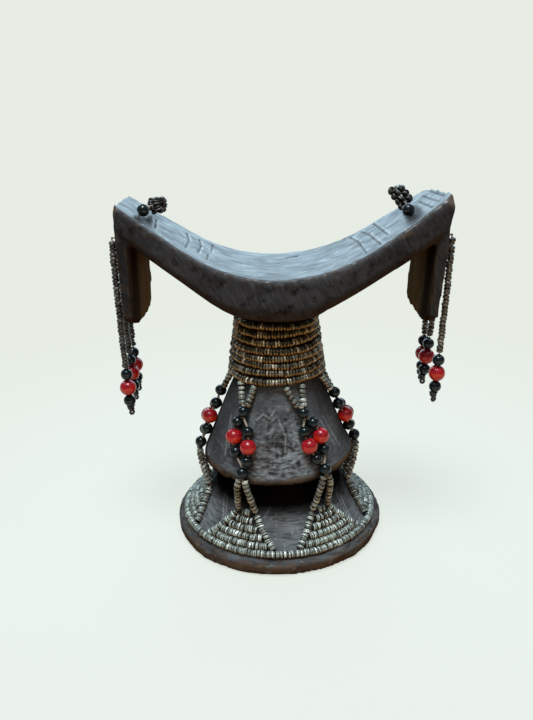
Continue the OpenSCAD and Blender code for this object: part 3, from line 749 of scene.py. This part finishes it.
# Where each point is: on the skirt, the bell of the foot, its rim, a lug or the cradle.
x, y, z = co.T
nx, ny, nz = normal.T
a, r = polar(co)
cradle_from, lug_from, lug_top = 120, 56, 166
on_skirt = ((z > 40) & (z < 92) & (r < 46)).astype(float)
on_bell = ((z > 6) & (z < 41) & (r > 22)).astype(float)
on_rim = ((z < 9) & (r > 50)).astype(float)
on_lug = ((np.abs(x) > lug_from) & (z < lug_top) & ((nz < 0.4) | (z < 150))).astype(float)
on_cradle = ((z > cradle_from) & (on_lug == 0)).astype(float)
faces_up = ramp_up(nz, 0.52, 0.72)
side_on = (z > cradle_from) * ramp_up(np.abs(ny), 0.45, 0.8)

# The uneven hand, as waves in the surface: where, how high, how long, and the seed of each.
along, across_grain = 0.5 * x - 0.87 * z, 0.87 * x + 0.5 * z
waves = (
    (1, 0.28, (x / 21, y / 21, z / 27), 3),
    (on_skirt, 0.22, (a * 5.1, z / 33), 9),
    (on_skirt, 0.13, (a * 15, z / 11), 11),
    (on_skirt * ramp_up(48 - z, 0, 2), 0.30, (a * 11, z / 2.6), 28),
    (on_bell, 0.40, (a * 6.2, z / 40), 5),
    (on_bell, 0.20, (a * 17, z / 18), 7),
    (on_rim, 0.55, (a * 5, z / 9), 13),
    (on_cradle * faces_up, 0.12, (x / 12, y / 8), 15),
    (on_cradle * faces_up, 0.03, (x / 5, y / 2.4), 18),
    (side_on, 0.07, (across_grain / 1.9, along / 14), 17),
    (side_on, 0.16, (x / 9, z / 5), 20),
    (on_lug, 0.22, (x / 5, y / 2.3, z / 18), 19),
    (on_lug, 0.25, (x / 9, y / 7, z / 12), 22))
lift = np.zeros(len(co))
for where, height, spots, seed in waves:
    lift += where * height * lattice(*spots, seed=seed)

# Broad flats of the adze round the skirt, creases of the knife in front, rings on the foot, chipped edges.
facets = 13
turn = (a + 0.12 * lattice(a * 3, z / 60, seed=4)) % (2 * math.pi / facets) - math.pi / facets
flats = skirt_radius * (math.cos(math.pi / facets) / np.cos(turn) - 0.985)
lift += on_skirt * ramp_up(z, 44, 52) * 0.45 * flats
bent = z + 2.2 * lattice(a * 6, z / 8, seed=12)
crease = 1 - np.abs(lattice(a * 6, bent / 3.0, seed=14)) - 2 * np.abs(lattice(a * 14, bent / 1.7, seed=16))
chopped = on_skirt * ramp_up(z, 46, 50) * ramp_up(84 - z, 0, 12) * fade(a - 0.05, 0.50, 4)
chopped = chopped * ramp_up(lattice(a * 4, z / 14, seed=10), -0.7, 0.2)
lift += chopped * 0.23 * crease
lift += on_bell * 0.05 * np.sin(2 * math.pi * (z + 1.2 * lattice(a * 4, z / 9, seed=6)) / 2.1)
chipped = ramp_up(lattice(x / 3.4, y / 3.4, z / 3.4, seed=23), 0.15, 0.7)
lift -= np.clip(edge_wear - 0.35, 0, 1) * 0.55 * chipped
cut, cut_edge, gouge, scratch = line_marks(co, normal)
broken = ramp_up(lattice(x / 1.9, y / 2.6, seed=26), -0.45, 0.15)
on_right_end = x > 66
wide = np.where(on_right_end, 0.7, 0.5)
lift += 0.15 * fade(cut_edge, 0.5) * broken - 0.45 * fade(cut, wide)
lift += 0.30 * fade(gouge, 0.5) - 0.35 * fade(gouge - 1.1, 0.5)
lift -= 0.12 * fade(scratch, 0.4)
co = co + normal * np.where(z < 0.01, 0, lift)[:, None]

# The lip was cut by eye and hangs a little lower on the left. The foot's lower edge is rubbed round.
lip_height, lip_tilt, lip_wave = 43.5, 1.4, 0.55
lip_share = np.clip(1 - np.abs(co[:, 2] - lip_height) / 9, 0, 1) * ramp_up(r, 26, 34)
slant = lip_tilt * np.clip(co[:, 0] / 40, -1, 1)
co[:, 2] += lip_share * (slant + lip_wave * lattice(a * 3.4, z / 30, seed=27))
rim_round = 0.012 * ramp_up(r, 50, 54) - 0.018 * (r > 50) * np.clip(1 - z / 2.6, 0, 1) ** 2
co[:, :2] *= 1 + ((z < 12) * rim_round)[:, None]
co[:, 2] = np.maximum(co[:, 2], 0)
wood_mesh.vertices.foreach_set("co", (co * MM).ravel())

# Marks for the finish: where the wood is worn, polished, dusty, brown or near black; some of them carry
# painted light and painted shade, as said where each is made.
inner = on_lug * ramp_up(-np.sign(x) * nx, 0.15, 0.5)
lug_front = on_lug * ramp_up(-ny, 0.4, 0.8) * ramp_up(164 - z, 0, 12)
under_lip = np.maximum(((z > 37) & (z < 46) & (nz < -0.3) & (r > 24)) * 1.0, on_bell * ramp_up(z, 20, 27))
lip = on_skirt * ramp_up(46.4 - z, 0, 0.8) * ramp_up(r, 36, 37.5)
lip = lip * (0.4 + 0.5 * ramp_up(np.abs(a + 0.1), 0.30, 0.9))
dark_lip = lip * ramp_up(lattice(a * 8, z / 2.5, seed=29), -0.6, 0.7)
shoulder = on_rim * ramp_up(nz, 0.3, 0.7)
rim_edge = on_rim * ramp_up(6.5 - z, 0, 2)
# Brown: on faces turned down it is a painted warm light from underneath; it is also laid on the lugs' inner
# faces, the rim's lower edge, the pared corners and the lip's edge.
brown = inner + ramp_up(-nz, 0.2, 0.7) * (z > 8) + rim_edge + pared * 0.7 + lip
# The skirt's pale grey is dust with a painted bluish sheen; it is weaker at the sides, a painted shade there,
# and stronger low down.
front_skirt = on_skirt * (0.30 + 0.70 * fade(a - 0.03, 0.62, 4)) * (0.40 + 0.60 * ramp_up(80 - z, 4, 24))
flecks = 0.6 * rim_edge * ramp_up(lattice(x / 2.6, y / 2.6, z / 1.3, seed=25), 0.40, 0.75)
bare = 0.62 + 0.18 * ramp_up(46 - np.abs(x), 0, 24)
end_face = (z > cradle_from) * ramp_up(np.sign(x) * nx, 0.5, 0.8) * (np.abs(x) > 68)
# Painted highlight: pale glints along the raised edge beside each cut, weaker on the right end; they are
# added to the scratch mark and take its pale colour.
glint = fade(cut_edge, 0.45) * broken * np.where(on_right_end, 0.8, 1.2)
# Painted shade: near black in the undercut under the lip, on the bell's upper part beneath it and deep inside
# the lugs towards the front; also darker on the lugs' fronts, the rim's shoulder and in patches on the lip.
near_black_and_painted_shade = 0.25 * lug_front + 0.5 * inner * ramp_up(-y, 1, 7) + under_lip + 0.45 * shoulder + dark_lip
marks = {
    "wear": edge_wear * (1 - 0.8 * on_cradle),
    "hatch": side_on * (0.85 + 0.5 * fade(x - 4, 26)) + 0.7 * end_face,
    "polish": on_cradle * ramp_up(nz, bare, bare + 0.14) * (1 - 0.5 * fade(cut, 0.4)),
    # Painted shade: the cut lines and the hollows beside the gouges are darkened.
    "cut": np.maximum(fade(cut, wide), 0.5 * fade(gouge - 1.0, 0.5)),
    "scratch": fade(scratch, 0.5) + 0.9 * fade(gouge, 0.5) + glint + flecks,
    "ridge": chopped * ramp_up(crease, 0.25, 0.85),
    "groove": chopped * ramp_up(-crease, 0.1, 0.7),
    "foot": on_bell * ramp_up(nz, 0.08, 0.3),
    "skirt": front_skirt * ramp_up(nz, 0.08, 0.3) * (1 - lip),
    "inside": inner * ramp_up(y, -6, 2),
    "brown": np.clip(brown, 0, 1),
    "near_black_and_painted_shade": np.clip(near_black_and_painted_shade, 0, 1)}
for name, values in marks.items():
    write_mark(wood_mesh, name, values)
wood_mesh.shade_smooth()
wood_mesh.update()
wood = stand("headrest_wood", wood_mesh)

# The stain is laid on in coats, each where the wood is marked for it and broken up by a noise.
stain = Finish("stained carved wood")
streaks = stain.noise(55, stretch=(1, 1, 6), detail=6)
blotches = stain.noise(38)
patchy = stain.noise(85, stretch=(2.2, 1, 1), detail=6)
scratches = stain.noise(650, stretch=(9, 1, 1), detail=3)
upright = stain.noise(560, stretch=(1, 1, 16), detail=3)
strokes = stain.noise(1000, stretch=(1, 1, 7), turn=(0, math.radians(-30), 0), detail=3)
bark = stain.noise(800, stretch=(2.6, 2.6, 1), detail=5)
shavings = stain.noise(1100, stretch=(9, 9, 1), detail=2)
chips = stain.noise(260)
mottle = stain.noise(170, stretch=(1.9, 1, 1), detail=7)
scribble = stain.noise(380, stretch=(3.2, 1, 1), turn=(0, 0, 0.4), detail=6)
speck = stain.noise(1300, detail=3)
patches = stain.reach(patchy, 0.35, 0.66)
# Pale bluish grey on the skirt: dust with a painted sheen.
skirt_grey = stain.mix((0.135, 0.149, 0.158, 1), (0.345, 0.390, 0.415, 1), patches)
foot_grey = stain.mix((0.100, 0.104, 0.108, 1), (0.190, 0.205, 0.213, 1), patches)
coats = (
    ("hatch", (0.106, 0.107, 0.112, 1), stain.reach(strokes, 0.42, 0.75, 0.10, 0.60)),
    ("hatch", (0.014, 0.012, 0.011, 1), stain.reach(chips, 0.52, 0.68, 0, 0.7)),
    ("polish", (0.28, 0.30, 0.31, 1), stain.reach(scribble, 0.56, 0.70, 0, 0.5)),
    ("polish", (0.010, 0.009, 0.008, 1), stain.reach(scribble, 0.40, 0.30, 0, 0.8)),
    ("skirt", skirt_grey, stain.reach(streaks, 0.30, 0.62, 0.45, 1.0)),
    ("skirt", (0.100, 0.082, 0.072, 1), stain.reach(blotches, 0.54, 0.68, 0, 0.6)),
    ("skirt", (0.028, 0.024, 0.022, 1), stain.reach(bark, 0.49, 0.62, 0, 0.85)),
    ("skirt", (0.40, 0.42, 0.42, 1), stain.reach(bark, 0.44, 0.30, 0, 0.6)),
    ("foot", foot_grey, stain.reach(streaks, 0.28, 0.60, 0.4, 1.0)),
    ("foot", (0.040, 0.035, 0.034, 1), stain.reach(shavings, 0.50, 0.62, 0, 0.65)),
    ("foot", (0.30, 0.31, 0.31, 1), stain.reach(upright, 0.61, 0.72, 0, 0.6)),
    ("ridge", (0.38, 0.40, 0.41, 1), stain.reach(chips, 0.35, 0.65, 0.1, 0.65)),
    ("groove", (0.020, 0.017, 0.015, 1), 0.8),
    ("brown", (0.125, 0.080, 0.047, 1), stain.reach(streaks, 0.25, 0.70, 0.45, 1.0)),
    ("inside", (0.24, 0.150, 0.068, 1), stain.reach(streaks, 0.30, 0.65, 0.15, 0.9)),
    ("wear", (0.165, 0.100, 0.058, 1), stain.reach(chips, 0.42, 0.66, 0, 0.6)),
    ("cut", (0.012, 0.010, 0.009, 1), 0.7),
    ("scratch", (0.36, 0.37, 0.37, 1), stain.reach(speck, 0.30, 0.60, 0.1, 0.75)),
    ("near_black_and_painted_shade", (0.0025, 0.0015, 0.0010, 1), 0.97))
base = stain.mix((0.019, 0.0180, 0.0185, 1), (0.053, 0.0520, 0.0535, 1), stain.reach(streaks, 0.32, 0.70))
base = stain.mix(base, (0.100, 0.097, 0.096, 1), stain.reach(blotches, 0.50, 0.80, 0, 0.55))
for mark, colour, amount in coats:
    base = stain.layer(base, colour, mark, amount)
stain.set(Base_Color=base)
dull = stain.reach(blotches, 0.3, 0.7, 0.46, 0.62)
rubbed = stain.reach(scratches, 0.3, 0.7, 0.27, 0.46)
stain.set(Roughness=stain.mix(dull, rubbed, stain.mark("polish"), "FLOAT"))
stain.set(Specular_IOR_Level=0.0, Coat_Roughness=0.36, Coat_IOR=1.72)
stain.set(Coat_Weight=stain.times(stain.mark("polish"), stain.reach(mottle, 0.32, 0.60, 0.55, 1.0)))
tool_marks = stain.sum(stain.times(upright, 0.25), stain.times(speck, 0.12))
tools = (
    (bark, "skirt", -1.0), (shavings, "foot", -0.35), (strokes, "hatch", 0.4),
    (scribble, "polish", 0.55), (scratches, "polish", 0.12), (chips, "skirt", 0.9))
for noise, mark, depth in tools:
    tool_marks = stain.sum(tool_marks, stain.times(stain.times(noise, stain.mark(mark)), depth))
stain.bump(tool_marks, 0.7, 0.8 * MM)
wood_mesh.materials.append(stain.material)
fit(wood, "headrest", "wood", "carved_body")


# Collar: rows of seed beads strung one above the other around the neck, each on its own ring of thread.
# The rows sag and crowd each other, and the thread is knotted off at the front left.
collar_finish = seed_look(
    "browned seed bead",
    new=((0.038, 0.038, 0.030), (0.130, 0.130, 0.104), (0.42, 0.43, 0.36), (0.98, 0.98, 0.90)),
    old=((0.008, 0.005, 0.002), (0.034, 0.020, 0.0065), (0.11, 0.068, 0.025), (0.60, 0.43, 0.22)),
    painted_light_below=(0.74, 0.355, 0.060, 1), shine=(1.0, 0.78, 0.50, 1))
ring_thread_radius = 0.35 * MM


def tie_down(name, node, tubes):
    """One piece of thread from several tubes, fixed to the headrest in place of its CAD node."""
    bm = bmesh.new()
    for piece in tubes:
        bm.from_mesh(piece.data)
        bpy.data.objects.remove(piece)
    mesh = bpy.data.meshes.new(name)
    bm.to_mesh(mesh)
    bm.free()
    mesh.shade_smooth()
    mesh.materials.append(thread_finish.material)
    fit(stand(name, mesh), "headrest", "thread", node)


def shorter_way(angle, start):
    """How far an angle lies from a start, the shorter way round."""
    return (angle - start + math.pi) % (2 * math.pi) - math.pi


def round_axis(angle, radius, height):
    """Points round the upright axis, at angles from the front."""
    return np.stack([radius * np.sin(angle), -radius * np.cos(angle), height], 1)


def ring_thread(tri):
    """A tube along the middle of a CAD thread that runs round the axis."""
    p = tri.reshape(-1, 3)
    angle, radius = polar(p)
    heading = math.atan2(p[:, 0].mean(), -p[:, 1].mean())
    whole = np.hypot(p[:, 0].mean(), p[:, 1].mean()) < 0.1 * radius.mean()
    heading = 0 if whole else heading
    turn = shorter_way(angle, heading)
    step = np.round(turn / math.radians(5)).astype(int)
    line = []
    for k in np.unique(step)[(1 if whole else 0):]:
        mine = step == k
        out, at = radius[mine].mean(), heading + turn[mine].mean()
        line.append((out * math.sin(at), -out * math.cos(at), p[mine, 2].mean()))
    return tube("thread", line, ring_thread_radius, 6, closed=whole)


collar_nodes = sorted(n for n in nodes if n.startswith("collar_row_"))
collar_frames = []
crowding, row_height = 1.32, 3.85
for name in collar_nodes:
    centres = bead_frames(name)[0]
    angle, radius = polar(centres)
    turn = np.linspace(-math.pi, math.pi, round(crowding * len(centres)), endpoint=False)
    radius = np.interp(turn, angle, radius, period=2 * math.pi)
    height = np.interp(turn, angle, centres[:, 2], period=2 * math.pi)
    runs = np.stack([np.cos(turn), np.sin(turn), 0 * turn], 1)
    collar_frames.append((round_axis(turn, radius, height), runs))
collar_frames = tuple(np.concatenate(part) for part in zip(*collar_frames))
collar_bead = turned_bead("collar bead", [
    (0.7, -0.57), (1.28, -0.65), (1.76, -0.33), (1.80, 0.29), (1.32, 0.65), (0.7, 0.57)], 10)
centres, runs = by_hand(collar_frames, 0.11, 20)
angle = polar(centres)[0]
row = np.round(centres[:, 2] / MM / row_height)
centres[:, 2] += (0.45 * np.sin(angle + 1.3 * row) + 0.30 * np.sin(3 * angle + 2.1 * row)) * MM
collar = string_up("collar_beads", (centres, runs), collar_bead, collar_finish,
                   size=0.08, length=0.13, tilt=0.13, seed=21)
# The collar's rows are browner and darker towards the top, under the cradle: painted shade there, added to
# their brown from long use.
mark_age_and_shade(collar, lambda z: 0.42 + 0.53 * ramp_up(z, 97, 112))
fit(collar, "headrest", "seed_bead", *collar_nodes)
collar_thread = [ring_thread(tri) for tri in loose_parts("collar_threads")]
tie_angle, tie_radius = math.radians(-60), 22.6
tie_out = Vector((math.sin(tie_angle), -math.cos(tie_angle), 0))
tie = [(0, 118.8, 0.4), (0.5, 117.6, 0.9), (-0.4, 116.4, 1.1), (0.3, 115.0, 0.8),
       (-0.2, 113.6, 1.1), (0.4, 112.2, 0.8), (0, 111.0, 0.6), (0.3, 109.8, 0.35)]
tie_line = [tie_out * (tie_radius + out) * MM + Vector((0, 0, up * MM)) for out, up, thick in tie]
collar_thread.append(tube("tie", tie_line, [thick * MM for out, up, thick in tie], 8))
tie_down("collar_thread_rings", "collar_threads", collar_thread)


# Net: two threads in each column carry seed beads, then black and red glass, and seed beads again.
# They are knotted under the collar, at the first and last black bead, and at the head of the panel.
seed_finish = seed_look(
    "grey seed bead",
    new=((0.095, 0.106, 0.094), (0.30, 0.345, 0.305), (0.55, 0.62, 0.565), (0.92, 0.98, 0.93)),
    old=((0.022, 0.015, 0.008), (0.070, 0.047, 0.021), (0.17, 0.120, 0.060), (0.45, 0.36, 0.23)),
    painted_light_below=(0.66, 0.365, 0.115, 1))
net_thread_radius = 0.58 * MM
knot_pull = 1.3 * MM


def falling_thread(tri):
    """A tube along the middle of a CAD thread that falls all the way."""
    p = np.unique(np.round(tri.reshape(-1, 3), 7), axis=0)
    p = p[np.argsort(-p[:, 2])]
    sides = 6
    line = [p[k:k + sides].mean(axis=0) for k in range(0, len(p), sides)]
    return tube("thread", line, net_thread_radius, sides)


glass, glass_runs = bead_frames("net_black_beads", end_on=False)
net_nodes = sorted(n for n in nodes if n.startswith("net_seeds_"))
seed_centres, seed_runs = [], []
for name in net_nodes:
    centres, runs = bead_frames(name)
    split = (centres[:, 2].max() + centres[:, 2].min()) / 2
    for upper in (True, False):
        mine = (centres[:, 2] > split) == upper
        group = centres[mine]
        tip = group[group[:, 2].argmin() if upper else group[:, 2].argmax()]
        knot_bead = glass[np.linalg.norm(glass - tip, axis=1).argmin()]
        far = np.linalg.norm(group - knot_bead, axis=1)
        share = np.clip((far.max() - far) / (far.max() - far.min()), 0, 1)
        pull = knot_pull * share / far
        seed_centres.append(group + (knot_bead - group) * pull[:, None])
        seed_runs.append(runs[mine])
net_bead = turned_bead("net bead", [
    (0.6, -0.94), (1.28, -1.02), (1.64, -0.66), (1.70, 0.05), (1.62, 0.68), (1.26, 1.02), (0.6, 0.94)], 12)
net_frames = by_hand((np.concatenate(seed_centres), np.concatenate(seed_runs)), 0.10, 30)
net = string_up("net_seed_beads", net_frames, net_bead, seed_finish,
                size=0.08, length=0.14, tilt=0.20, seed=31)
mark_age_and_shade(net, lambda z: 0.12 + 0.33 * ramp_up(60 - z, 0, 10))
fit(net, "headrest", "seed_bead", *net_nodes)
net_black = string_up("net_black_glass", (glass, glass_runs), black_bead, black_finish,
                      size=0.03, length=0.05, tilt=0.15, seed=33)
fit(net_black, "headrest", "black_glass", "net_black_beads")
net_red = string_up("net_red_glass", bead_frames("net_red_beads", end_on=False), red_bead, red_finish,
                    size=0.02, length=0.03, tilt=0.15, seed=35)
fit(net_red, "headrest", "red_glass", "net_red_beads")
tie_down("net_thread_lines", "net_threads", [falling_thread(tri) for tri in loose_parts("net_threads")])


# Panels: rows of seed beads on the foot, between two edge strings, above one hem right round.
# Every row has its own thread, tied to the edge strings.
def in_pairs(frames):
    """Two thin beads, side by side, in the place of each CAD bead."""
    centres, runs = frames
    step = runs * 0.46 * MM
    return np.concatenate([centres - step, centres + step]), np.concatenate([runs, runs])


thin_bead = turned_bead("thin bead", [
    (0.7, -0.43), (1.54, -0.47), (1.83, -0.22), (1.80, 0.24), (1.50, 0.47), (0.7, 0.43)], 10)
row_stretch, edge_stretch, hem_height, steep = 1.10, 1.4 * MM, 1.5 * MM, 0.25
panel_nodes = sorted(n for n in nodes if n.startswith("panel_") and n != "panel_threads")
panel_frames = []
for name in panel_nodes:
    centres, runs = bead_frames(name)
    middle = math.atan2(centres[:, 0].mean(), -centres[:, 1].mean())
    above_hem = centres[:, 2] > centres[:, 2].min() + hem_height
    in_row = (np.abs(runs[:, 2]) < steep) & above_hem
    edging = (np.abs(runs[:, 2]) >= steep) & above_hem
    drop = (centres[edging, 2].max() - centres[edging, 2]) / np.ptp(centres[edging, 2])
    centres[edging] -= runs[edging] * (np.sign(runs[edging, 2]) * drop * edge_stretch)[:, None]
    angle, radius = polar(centres)
    turn = middle + shorter_way(angle, middle) * np.where(in_row, row_stretch, 1.0)
    panel_frames.append((round_axis(turn, radius, centres[:, 2]), runs))
panel_frames = tuple(np.concatenate(part) for part in zip(*panel_frames))
panels = string_up("panel_beads", by_hand(in_pairs(panel_frames), 0.11, 40), thin_bead, seed_finish,
                   size=0.08, length=0.18, tilt=0.13, seed=41)
mark_age_and_shade(panels, 0.0)
# Painted shade: the panels darken where the foot turns away at the sides.
side_shade = 0.38 * ramp_up(np.abs(vertices_of(panels.data)[:, 0]) / MM, 26, 44)
tones = panels.data.attributes["tone"].data
tone = np.empty(len(tones))
tones.foreach_get("value", tone)
tones.foreach_set("value", tone * (1 - side_shade))
fit(panels, "headrest", "seed_bead", *panel_nodes)
tie_down("panel_thread_rows", "panel_threads", [ring_thread(tri) for tri in loose_parts("panel_threads")])


# Stops: the strands' threads come up through the arms and are tied round beads too big for the hole,
# a black one in front of the well, and behind it a string of seed beads wound up into a roll.
def roll(centre, axis, radius, turns, per_turn, step):
    """Frames of seed beads wound round an axis."""
    axis = Vector(axis).normalized()
    first = axis.orthogonal().normalized()
    second = axis.cross(first)
    places, runs = [], []
    for k in range(int(turns * per_turn)):
        t = 2 * math.pi * k / per_turn
        spoke = math.cos(t) * first + math.sin(t) * second
        places.append(Vector(centre) + spoke * radius + axis * (k / per_turn - turns / 2) * step)
        runs.append((-math.sin(t) * first + math.cos(t) * second) * radius + axis * step / (2 * math.pi))
    return places, runs


loops = bead_frames("stop_seeds")[0]
stop_glass = bead_frames("stop_black_beads", end_on=False)[0]
stop_runs = np.tile((0.96, 0.0, 0.28), (len(stop_glass), 1))
places, runs = [], []
# Each roll: its end, its place off the CAD loop, the way its axis runs, radius, turns and beads in a turn.
turn_step = 3.0 * MM
rolls = (
    (-1, (3.4, -2.0, -2.8), (0.9, -0.35, 0.1), 2.3, 2.4, 7),
    (1, (0.2, -0.6, 1.0), (0.55, -0.2, -0.75), 2.5, 3.4, 8))
for sign, nudge, axis, radius, turns, per_turn in rolls:
    middle = Vector(loops[loops[:, 0] * sign > 0].mean(axis=0)) + Vector(nudge) * MM
    wound = roll(middle, axis, radius * MM, turns, per_turn, turn_step)
    places += wound[0]
    runs += wound[1]
stop_frames = (np.array([tuple(p) for p in places]), np.array([tuple(v.normalized()) for v in runs]))
stops = string_up("stop_seed_beads", by_hand(in_pairs(stop_frames), 0.15, 50), thin_bead, dark_finish,
                  size=0.08, length=0.16, tilt=0.2, seed=51)
mark_age_and_shade(stops, 0.1)
fit(stops, "headrest", "seed_bead", "stop_seeds")
stop_black = string_up("stop_black_glass", (stop_glass, stop_runs), black_bead, black_finish,
                       size=0.02, length=0.03, tilt=0.2, seed=53)
fit(stop_black, "headrest", "black_glass", "stop_black_beads")
# Each thread runs from its bead to the well's mouth, down it and out of the lug, with a knot at the hole.
stop_thread = []
thick = [0.35] * 6 + [0.5, 0.62, 0.5, 0.3]
for sign, end in ((-1, "left"), (1, "right")):
    bead = Vector(stop_glass[stop_glass[:, 0] * sign > 0][0])
    wound = [p for p in places if p.x * sign > 0]
    middle = sum(wound, Vector()) / len(wound)
    mouth = Vector((bead.x + sign * 1.8 * MM, 0, bead.z - 1.2 * MM))
    hole = Vector((mouth.x, 0, joint_place[end + "_front_swing"].z))
    for spot, head in (("front", bead), ("middle", mouth), ("back", middle)):
        out = joint_place[f"{end}_{spot}_swing"]
        arch = (head + mouth) / 2 + Vector((0, 0, 0.6 * MM))
        stub = [out - Vector((sign * d * MM, 0, 0)) for d in (0.9, 0.5, 0.2, -0.1, -0.4)]
        line = [head, arch, mouth, hole + Vector((0, 0, 2 * MM)), hole.lerp(out, 0.12)] + stub
        stop_thread.append(tube("thread", line, [t * MM for t in thick], 8))
tie_down("stop_thread_ties", "stop_threads", stop_thread)
